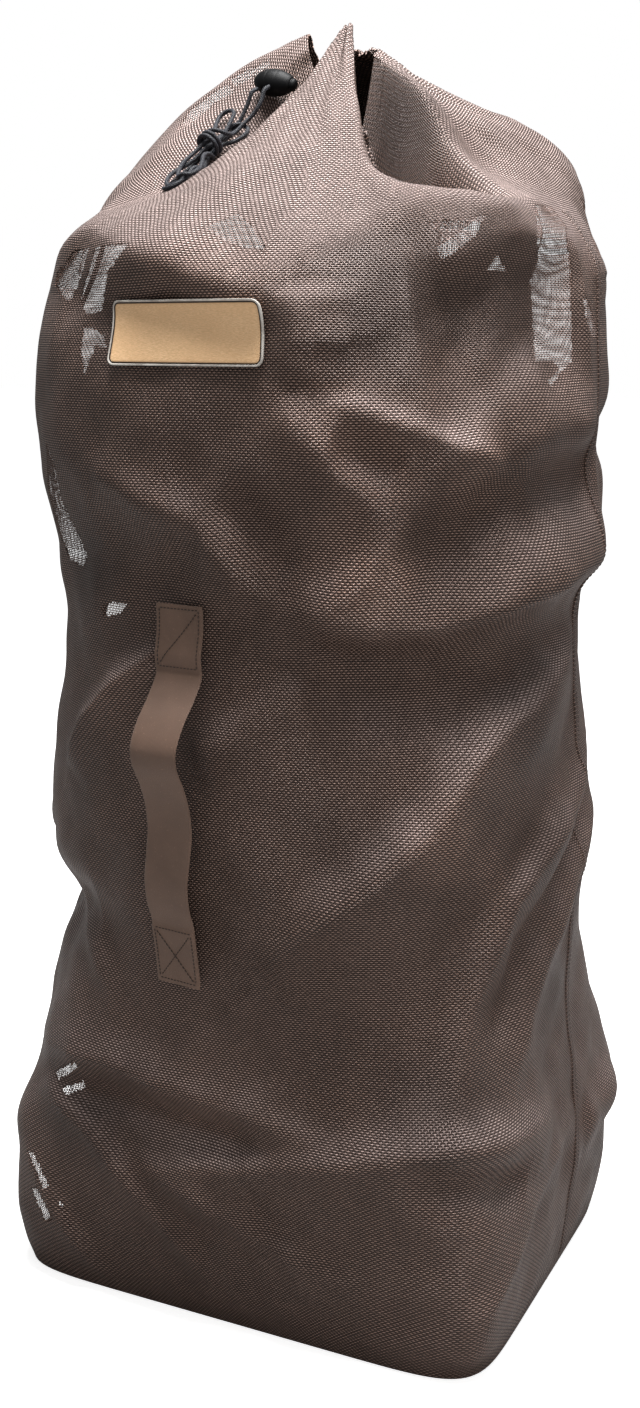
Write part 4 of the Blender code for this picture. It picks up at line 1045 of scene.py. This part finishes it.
def patch_look():
    """The blank patch: a fine woven tan face inside a dark groove and a satin rim painted pale as a highlight."""
    look = Shading("patch_look", (0.73, 0.48, 0.26), 0.5)
    inward, _ = look.uv("border")                   # millimetres from the patch's edge
    inside_groove = PATCH_RIM + PATCH_GROOVE
    face = look.ramp(inward, inside_groove - 0.15, inside_groove + 0.15)
    groove = look.ramp(inward, PATCH_RIM - 0.12, PATCH_RIM + 0.12)
    thread = look.noise(0.0007, stretch=(0.25, 0.25, 2.2))
    tan = look.mix(look.patches(0.045), (0.92, 0.585, 0.315), (0.99, 0.66, 0.375))
    tan = look.mix(look.ramp(thread, 0.40, 0.62), (0.80, 0.50, 0.255), tan)
    tan = look.mix(look.patches(0.0009, 0.55, 0.80, 0.0, 0.5), tan, (0.99, 0.76, 0.50))
    tan = look.mix(look.ramp(inward, inside_groove, inside_groove + 2.2, 0.45, 0.0), tan, (0.62, 0.38, 0.20))
    # the rim is painted pale grey: a painted highlight on its raised edge
    rim = look.mix(look.patches(0.012), (0.42, 0.38, 0.34), (0.72, 0.68, 0.62))
    look.set(Base_Color=look.mix(face, look.mix(groove, rim, (0.030, 0.020, 0.015)), tan),
             Roughness=look.ramp(face, 0, 1, 0.32, 0.58), Normal=look.bump(thread * face, 0.0002, 0.6))
    return look.material


def base_cloth_look():
    """Close plain weave of the bottom panel."""
    look = Shading("base_cloth_look", (0.045, 0.036, 0.032), 0.68)
    across, up, _ = look.parts(look.node("TexCoord").outputs["Object"])
    height = look.math("MAXIMUM", *look.woven(across * (1 / BASE_YARN), up * (1 / BASE_YARN), -0.9, 0.4, 1.0))
    dust = look.patches(0.06, 0.45, 0.70, detail=4.0) * 0.6
    base = look.mix(dust, (0.050, 0.038, 0.033), (0.115, 0.098, 0.085))
    look.set(Base_Color=look.mix(look.ramp(height, 0.2, 0.9), (0.015, 0.011, 0.010), base),
             Normal=look.bump(height, 0.0005, 0.9))
    return look.material


def around_vector(angle):
    turn = math.radians(angle)
    return Vector((math.sin(turn), -math.cos(turn), 0.0))


def soften(values, reach):
    """Values smoothed along their first axis over about reach steps."""
    span = np.arange(-3 * reach, 3 * reach + 1)
    weights = np.exp(-0.5 * (span / reach) ** 2)
    weights /= weights.sum()
    padded = np.concatenate([np.repeat(values[:1], 3 * reach, axis=0), values,
                             np.repeat(values[-1:], 3 * reach, axis=0)])
    return np.stack([np.tensordot(weights, padded[i:i + len(span)], axes=(0, 0)) for i in range(len(values))])


class StrapRun:
    """A webbing strap's path down the cloth, with its side and outward way at each step."""

    def __init__(self, cloth, rows, width, ends):
        table = np.array(rows, float)
        drop = table[0, 1] - table[:, 1]
        self.length = drop[-1]
        at = np.linspace(0, self.length, max(8, round(self.length / STRAP_STEP)) + 1)
        angle, height, standoff = curve(table, drop, at).T
        up = Vector((0, 0, 1))
        outs = [around_vector(turn) for turn in angle]
        sides = [up.cross(out) for out in outs]
        places = [out * NOMINAL_RADIUS + up * level for out, level in zip(outs, height)]
        lifts = np.array([cloth.highest(place, out, side, up, width / 2, STRAP_STEP)
                          for place, out, side in zip(places, outs, sides)])
        lifts = np.maximum(soften(lifts, 3), lifts - 0.0004) + SEAT_GAP
        under = np.minimum(ramp(ends[0] - at, 0, 0.006) + ramp(at - (self.length - ends[1]), 0, 0.006), 1)
        rise = lifts + np.clip(standoff, 0, None) + under * FOLD_THICKNESS + STRAP_THICKNESS / 2
        places, outs, self.sides = np.array(places), np.array(outs), np.array(sides)
        self.cloth_side = places + outs * lifts[:, None]
        self.points = places + outs * rise[:, None]
        self.ways = square_to(self.sides, np.gradient(self.points, axis=0))
        self.along = run_lengths(self.points)

    def at(self, across, along, rise):
        """Places on the strap's outer face, across its middle and along it, and their ways."""
        points, sides, ways = (read_off(along, self.along, values)
                               for values in (self.points, self.sides, self.ways))
        return points + sides * across[..., None] + ways * (STRAP_THICKNESS / 2 + rise), ways


def band(build, points, sides, ways, along, width, thickness):
    """A flat band with a uv map of its threads in millimetres."""
    ring = flat_ring(15, 6.0)
    add_bar(build, points, sides, ways, width / 2, thickness / 2, ring, ring[:, 0] * width * 500, along * 1000)


def stitches(build, points, ways, stitch):
    """Sewing thread along a line of points: short stitches that dip in at their ends."""
    spacing, length, radius = stitch
    along = run_lengths(points)
    count = max(1, int(along[-1] / spacing))
    first = (along[-1] - (count - 1) * spacing) / 2
    share = np.linspace(-0.5, 0.5, 6)
    dip = (1 - (2 * share) ** 4) * radius * 1.1 - radius * 0.75
    taper = radius * np.array([0.45, 0.9, 1.0, 1.0, 0.9, 0.45])
    for index in range(count):
        at = first + index * spacing + share * length
        ups = unit(read_off(at, along, ways))
        places = read_off(at, along, points) + ups * dip[:, None]
        sides = square_to(np.gradient(places, axis=0), ups)
        add_bar(build, places, sides, ups, taper, taper, circle(6), np.arange(6) / 6, at * 1000)


def sew_line(build, run, start, end, rise=0.00005):
    """Stitches on the strap between two places given as (across, along)."""
    start, end = np.array(start), np.array(end)
    count = max(3, int(np.linalg.norm(end - start) / 0.002))
    places = start + (end - start) * np.linspace(0, 1, count)[:, None]
    stitches(build, *run.at(places[:, 0], places[:, 1], rise), STRAP_STITCH)


def sew_box(build, run, width, start, end, crosses):
    """A box of stitches with one or two diagonals, drawn on the strap between two distances."""
    edge = width / 2 - STITCH_INSET
    corners = ((-edge, start), (edge, start), (edge, end), (-edge, end), (-edge, start))
    for pair in zip(corners, corners[1:]):
        sew_line(build, run, *pair)
    lean = edge * 0.92
    low, high = start + 0.002, end - 0.002
    if "up" in crosses:
        sew_line(build, run, (-lean, high), (lean, low), 0.0002)
    if "down" in crosses:
        sew_line(build, run, (-lean, low), (lean, high), 0.0004)


def make_strap(cloth, name, rows, ends, crosses, looks, slot):
    """A strap of webbing, folded under and sewn down in a box at each end."""
    width = WEBBING_WIDTH
    run = StrapRun(cloth, rows, width, ends)
    build = Build()
    band(build, run.points, run.sides, run.ways, run.along, width, STRAP_THICKNESS)
    share = np.linspace(0, run.length, len(run.points))
    for first, last in ((0.0006, ends[0] - 0.001), (run.length - ends[1] + 0.001, run.length - 0.0006)):
        chosen = (share >= first) & (share <= last)
        sides, points = run.sides[chosen], run.cloth_side[chosen]
        ways = square_to(sides, np.gradient(points, axis=0))
        band(build, points + ways * (FOLD_THICKNESS / 2), sides, ways, run.along[chosen],
             width * 0.985, FOLD_THICKNESS * 0.96)
    build.show(name + "_webbing", looks[0], slot, "threads", [name])
    sewing = Build()
    total = run.along[-1]
    sew_box(sewing, run, width, 0.0035, ends[0] - 0.004, crosses[0])
    sew_box(sewing, run, width, total - ends[1] + 0.004, total - 0.0035, crosses[1])
    sewing.show(name + "_stitches", looks[1], slot, "threads")


def make_seams(cloth, cloth_look, thread):
    """The two side seams: a folded strip of the cloth with two rows of stitches, and the hem's stitches."""
    sewing = Build()
    ring = flat_ring(9, 4.0)
    ups = np.arange(*SEAM_FROM_TO, SEAM_STEP)
    for name, angle in SEAMS:
        points, ways = (np.array(parts) for parts in zip(*(cloth.spot(angle, up) for up in ups)))
        points, ways = soften(points, 1), unit(soften(ways, 2))
        sides = square_to(np.gradient(points, axis=0), ways)
        middle = points + ways * (SEAM_THICKNESS / 2 - SEAM_SINK)
        build = Build()
        add_bar(build, middle, sides, ways, SEAM_WIDTH / 2, SEAM_THICKNESS / 2, ring,
                ring[:, 0] * SEAM_WIDTH / 2 / YARN_PITCH, ups / YARN_PITCH)
        build.show("mesh_cloth_seam_" + name, cloth_look, "mesh_cloth")
        for share in (-SEAM_ROWS, SEAM_ROWS):
            line = middle + sides * (share * SEAM_WIDTH) + ways * (SEAM_THICKNESS / 2 + 0.0001)
            stitches(sewing, line, ways, SEAM_STITCH)
    level = int(np.searchsorted(cloth.ups, HEM_STITCH_UP))
    ways = cloth.normals[level]
    stitches(sewing, cloth.points[level] + ways * (HEM_OUT + 0.0002), ways, SEAM_STITCH)
    sewing.show("mesh_cloth_stitches", thread, "mesh_cloth", "threads")


def surface_terms(x, y):
    """The terms of the smooth surface that is fitted to the cloth under the patch."""
    return np.stack([np.ones_like(x), x, y, x * x, y * y, x * y, x**3, x * x * y, x * y * y, y**3, x**4], -1)


def rounded_rectangle(half_x, half_y, corner, count):
    """Points evenly round a rectangle with round corners, anticlockwise from its right side's middle."""
    outline = [(half_x, 0.0)]
    for turn, x, y in ((0, 1, 1), (90, -1, 1), (180, -1, -1), (270, 1, -1)):
        for step in np.radians(np.linspace(turn, turn + 90, 9)):
            outline.append((x * (half_x - corner) + corner * math.cos(step),
                            y * (half_y - corner) + corner * math.sin(step)))
    outline = np.array(outline + outline[:1])
    lengths = run_lengths(outline)
    return read_off(np.linspace(0, lengths[-1], count, endpoint=False), lengths, outline)


def make_patch(cloth, look):
    """The blank patch: a plate that follows the cloth, with a raised rim and a groove inside it."""
    width, height = PATCH_SIZE
    angle, middle = PATCH_PLACE
    outward = around_vector(angle)
    up = Vector((0, 0, 1))
    side = up.cross(outward)
    xs, ys = np.meshgrid(np.linspace(-0.5, 0.5, 15), np.linspace(-0.5, 0.5, 9))
    lifts = np.array([cloth.lift(outward * NOMINAL_RADIUS + side * x + up * (middle + y), outward)
                      for x, y in zip((xs * width).flat, (ys * height).flat)])
    terms = surface_terms(xs.ravel(), ys.ravel())
    fit = np.linalg.lstsq(terms, lifts, rcond=None)[0]
    clear = SEAT_GAP + max(0.0, (lifts - terms @ fit).max() * 0.75)
    points, borders = [], []
    count = PATCH_POINTS
    for inset, level in PATCH_PROFILE:
        inset = inset / 1000
        x, y = rounded_rectangle(width / 2 - inset, height / 2 - inset,
                                 max(SMALLEST_CORNER, PATCH_CORNER - inset), count).T
        rise = NOMINAL_RADIUS + surface_terms(x / width, y / height) @ fit + clear + level / 1000
        points.append(np.outer(rise, outward) + np.outer(x, side) + np.outer(middle + y, up))
        borders.append(np.stack([np.full(count, inset * 1000), np.arange(count) * 2.0], -1))
    faces = grid_faces(len(points), count, closes=True)
    top = (len(points) - 1) * count
    for i in range(count // 2):
        j, k = (count - i) % count, count - i - 1
        faces.append([top + index for index in dict.fromkeys((i, i + 1, k, j))])
        faces.append(list(dict.fromkeys((j, k, i + 1, i))))
    build = Build()
    build.add(np.concatenate(points), faces, np.concatenate(borders)[np.concatenate(faces)])
    build.show("patch_plate", look, "patch", "border", ["label_patch"])


def make_toggle(look):
    """A barrel toggle with two ridges and a push button, flattened a little."""
    outward = Vector(LOCK_OUTWARD).normalized()
    axis = Vector(LOCK_AXIS)
    axis = (axis - outward * axis.dot(outward)).normalized()
    side, outward, axis = np.array(outward.cross(axis)), np.array(outward), np.array(axis)
    centre = np.mean(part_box("cord_lock"), axis=0) + axis * LOCK_SHIFT
    ring = circle(LOCK_SIDES) * LOCK_SIZE[1:] / 2
    points = [centre + axis * (along * LOCK_SIZE[0] / 2) + np.outer(ring[:, 0] * wide, side)
              + np.outer(ring[:, 1] * wide, outward) for along, wide in LOCK_PROFILE]
    faces = grid_faces(len(points), LOCK_SIDES, closes=True)
    top, foot = (len(points) - 1) * LOCK_SIDES, len(points) * LOCK_SIDES
    for i in range(LOCK_SIDES):
        faces.append([(i + 1) % LOCK_SIDES, i, foot])
    for i in range(LOCK_SIDES):
        faces.append([top + i, top + (i + 1) % LOCK_SIDES, foot + 1])
    half = axis * LOCK_SIZE[0] / 2
    build = Build()
    build.add(np.concatenate(points + [[centre - half, centre + half]]), faces,
              np.zeros((sum(len(face) for face in faces), 2)))
    made = build.show("toggle", look, "toggle", "threads", ["cord_lock"])
    round_off = made.modifiers.new("round", "SUBSURF")
    round_off.levels = 1
    round_off.render_levels = 1


def tube_frames(points):
    """Two unit vectors square to a line of points at each of them, with no needless twist."""
    ways = unit(np.gradient(points, axis=0))
    sides = [unit(np.cross(ways[0], (0.3, 0.2, 0.9)))]
    for way in ways[1:]:
        sides.append(unit(sides[-1] - way * (sides[-1] @ way)))
    return np.array(sides), np.cross(ways, sides)


def even_points(points, count):
    """The smooth curve through points, cut into even steps."""
    lengths = run_lengths(points)
    fine = curve(points, lengths, np.linspace(0, lengths[-1], count * 8))
    along = run_lengths(fine)
    return read_off(np.linspace(0, along[-1], count), along, fine)


def bundle_frame():
    """The bundle's origin, and its three ways as rows: along it, to its side and out from the cloth."""
    ends = []
    for spot in HANK_ENDS:
        angle, up = np.array(spot)[:, None]
        ends.append((Vector(bag_cloth(angle, up)[0, 0]), Vector(cloth_normals(angle, up)[0, 0])))
    (start, first), (end, last) = ends
    along = (end - start).normalized()
    outward = first + last
    outward = (outward - along * outward.dot(along)).normalized()
    return np.array(start), np.array([along, outward.cross(along), outward])


def toggle_exit(number, origin, axes):
    """The first two points of one end of the cord, in the bundle's frame."""
    place, way = np.array(CORD_EXITS[number])
    start = np.mean(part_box("cord_lock"), axis=0) + place
    return [axes @ (start + way * reach - origin) * 1000 for reach in (0.0, CORD_LEAD)]


def cord_route(origin, axes):
    """Rough points of the whole drawstring in the bundle's frame, in millimetres."""
    route = toggle_exit(0, origin, axes) + list(TO_WAIST)
    for index, (loop, (side, rise)) in enumerate(zip(LOOPS, WAIST_ROWS)):
        half = -WAIST_HALF if index % 2 == 0 else WAIST_HALF
        route += [(WAIST_X + x, side, WAIST_HEIGHT + rise) for x in (half, -half)]
        route += [(x, y + LOOPS_LEAN * max(0, x - WAIST_X), z) for x, y, z in loop]
    for turn in np.linspace(0, WRAPS, WRAPS * 12 + 1):
        angle = math.radians(WRAP_START - 360 * turn)
        x = WRAP_FROM + (WRAP_TO - WRAP_FROM) * turn / WRAPS
        x += WRAP_EASE * (max(0, 1 - turn / EASE_TURN) ** 2 - max(0, 1 - (WRAPS - turn) / EASE_TURN) ** 2)
        route.append((x, WRAP_RADIUS * math.cos(angle), WAIST_HEIGHT + WRAP_RADIUS * math.sin(angle)))
    route = np.array(route + list(FROM_WAIST) + toggle_exit(1, origin, axes)[::-1])
    route[:, 2] += WAIST_LIFT * np.exp(-((route[:, 0] - WAIST_X) / WAIST_REACH) ** 2)
    return route


def settle(cloth):
    """Lets the rough route push itself apart, bend no tighter than it may, and lie on the cloth."""
    origin, axes = bundle_frame()
    xs = np.arange(*GROUND_X, GROUND_STEP)
    ys = np.arange(*GROUND_Y, GROUND_STEP)
    ground = np.full((len(xs), len(ys)), GROUND_BELOW)
    for i, x in enumerate(xs):
        for j, y in enumerate(ys):
            found = cloth.lift(origin + (axes[0] * x + axes[1] * y) / 1000, axes[2], 0.06)
            if found is not None:
                ground[i, j] = found * 1000
    slope_x, slope_y = np.gradient(ground, GROUND_STEP)
    diameter = CORD_DIAMETER * 1000
    nodes = even_points(cord_route(origin, axes), CORD_NODES)
    step = np.linalg.norm(np.diff(nodes, axis=0), axis=1).mean()
    apart = diameter * CORD_APART
    order = np.arange(CORD_NODES)
    far = np.abs(order[:, None] - order[None]) > int(CORD_NEIGHBOURS * diameter / step)
    most = step * step / SMALLEST_BEND
    for turn in range(CORD_ROUNDS):
        before = nodes.copy()
        nodes[:, 2] -= CORD_SINK
        for start in (0, 1):                        # each step keeps its length
            later = nodes[start + 1::2]
            earlier = nodes[start:-1:2][:len(later)]
            run = later - earlier
            shift = run * (1 - step / np.linalg.norm(run, axis=1, keepdims=True)) * 0.5
            earlier += shift
            later -= shift
        bend = nodes[:-2] - 2 * nodes[1:-1] + nodes[2:]         # and bends no more than it may
        size = np.linalg.norm(bend, axis=1, keepdims=True)
        over = bend * np.clip(1 - most / np.maximum(size, 1e-9), 0, 1)
        nodes[1:-1] += over * 0.22
        nodes[:-2] -= over * 0.11
        nodes[2:] -= over * 0.11
        if turn > CORD_ROUNDS * 0.2:
            nodes[1:-1] += (nodes[:-2] - 2 * nodes[1:-1] + nodes[2:]) * 0.03
        gap = nodes[:, None] - nodes[None]          # runs that meet push each other apart
        distance = np.sqrt((gap**2).sum(-1)) + 1e-9
        close = far & (distance < apart)
        push = np.where(close, (apart - distance) / distance, 0)[..., None] * gap
        nodes += 0.5 * push.sum(1) / np.sqrt(np.maximum(1, close.sum(1))[:, None])
        i = np.clip((nodes[:, 0] - xs[0]) / GROUND_STEP, 0, len(xs) - 1.01)     # none lies in the cloth
        j = np.clip((nodes[:, 1] - ys[0]) / GROUND_STEP, 0, len(ys) - 1.01)
        i0, j0 = i.astype(int), j.astype(int)
        fi, fj = i - i0, j - j0
        under = (ground[i0, j0] * (1 - fi) * (1 - fj) + ground[i0 + 1, j0] * fi * (1 - fj)
                 + ground[i0, j0 + 1] * (1 - fi) * fj + ground[i0 + 1, j0 + 1] * fi * fj)
        tilt = np.sqrt(1 + slope_x[i0, j0]**2 + slope_y[i0, j0]**2)
        nodes[:, 2] = np.maximum(nodes[:, 2], under + (diameter / 2 + CORD_REST) * tilt)
        nodes[:FIXED_NODES] = before[:FIXED_NODES]
        nodes[-FIXED_NODES:] = before[-FIXED_NODES:]
    return origin + nodes @ axes / 1000


def make_drawstring(cloth, look):
    points = even_points(settle(cloth), CORD_RINGS)
    sides, ups = tube_frames(points)
    places, faces = bar(points, sides, ups, CORD_DIAMETER / 2, CORD_DIAMETER / 2, circle(CORD_SIDES))
    along = np.linspace(0, run_lengths(points)[-1] * 1000, len(points))
    # the seam of the cord's uv map is split, so that the braid runs on round it
    corners = np.concatenate(faces)
    threads = np.stack([corners % CORD_SIDES / CORD_SIDES, along[corners // CORD_SIDES]], -1)
    quads = (len(points) - 1) * CORD_SIDES
    last = np.repeat(np.arange(quads) % CORD_SIDES == CORD_SIDES - 1, 4)
    threads[:quads * 4][last & (threads[:quads * 4, 0] < 0.01), 0] = 1.0
    build = Build()
    build.add(places, faces, threads)
    made = build.show("drawstring", look, "cord", "threads", ["draw_cord_a", "draw_cord_b", "cord_hank"])


def make_camera():
    data = bpy.data.cameras.new("camera")
    data.sensor_width = 36.0
    data.lens = LENS
    camera = bpy.data.objects.new("camera", data)
    bpy.context.scene.collection.objects.link(camera)
    camera.location = camera_place()
    camera.rotation_euler = (math.radians(90 - CAMERA_DIP), 0, math.radians(CAMERA_AZIMUTH))
    bpy.context.scene.camera = camera


def make_stage():
    """The pale floor, which the camera sees lit from within, the world's fill and the softboxes."""
    scene = bpy.context.scene
    corners = [(x * FLOOR_HALF, y * FLOOR_HALF, FLOOR_LEVEL) for x, y in ((-1, -1), (1, -1), (1, 1), (-1, 1))]
    plane = bpy.data.meshes.new("floor")
    plane.from_pydata(corners, [], [(0, 1, 2, 3)])
    floor = bpy.data.objects.new("floor", plane)
    scene.collection.objects.link(floor)
    look = Shading("floor_look", (0.90, 0.90, 0.90), 0.8)
    seen = Value(look, look.node("LightPath").outputs["Is Camera Ray"])
    look.set(Base_Color=look.mix(seen, (FLOOR_BOUNCE,) * 3, (0.9, 0.9, 0.9)),
             Emission_Color=(1, 1, 1), Emission_Strength=seen * FLOOR_GLOW)
    plane.materials.append(look.material)
    world = bpy.data.worlds.new("studio")
    world.use_nodes = True
    nodes, links = world.node_tree.nodes, world.node_tree.links
    mix = nodes.new("ShaderNodeMixShader")
    links.new(nodes.new("ShaderNodeLightPath").outputs["Is Camera Ray"], mix.inputs[0])
    seen, fill = nodes["Background"], nodes.new("ShaderNodeBackground")
    for socket, node, strength in ((1, fill, WORLD_FILL), (2, seen, 1.0)):
        node.inputs["Color"].default_value = (1, 1, 1, 1)
        node.inputs["Strength"].default_value = strength
        links.new(node.outputs[0], mix.inputs[socket])
    links.new(mix.outputs[0], nodes["World Output"].inputs["Surface"])
    scene.world = world
    scene.view_settings.view_transform = "Standard"
    for name, place, target, size, power in SOFTBOXES:
        light = bpy.data.lights.new(name, "AREA")
        light.shape = "RECTANGLE"
        light.size, light.size_y = size
        light.energy = power
        box = bpy.data.objects.new(name, light)
        scene.collection.objects.link(box)
        box.location = place
        box.rotation_euler = (Vector(target) - Vector(place)).to_track_quat("-Z", "Y").to_euler()


make_camera()
make_stage()
cloth = Cloth()
make_drawstring(cloth, cord_look())
make_toggle(toggle_look())
cloth_look = mesh_cloth_look()
make_cloth(cloth, cloth_look)
make_seams(cloth, cloth_look, stitch_look("cloth_stitch_look", (0.120, 0.085, 0.075)))
strap_looks = (webbing_look("webbing_look", (0.205, 0.120, 0.082), (0.165, 0.096, 0.065)),
               stitch_look("stitch_look", (0.042, 0.023, 0.016)))
make_strap(cloth, "grab_handle", GRAB_HANDLE, (0.055, 0.055), ("up", "updown"), strap_looks, "webbing")
for name, mirror in (("shoulder_strap_right", 1), ("shoulder_strap_left", -1)):
    make_strap(cloth, name, [(mirror * angle, *rest) for angle, *rest in SHOULDER_STRAP], (0.060, 0.055),
               ("updown", "updown"), strap_looks, "strap_webbing")
make_patch(cloth, patch_look())
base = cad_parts["base_panel"]
base.data.materials.clear()
base.data.materials.append(base_cloth_look())
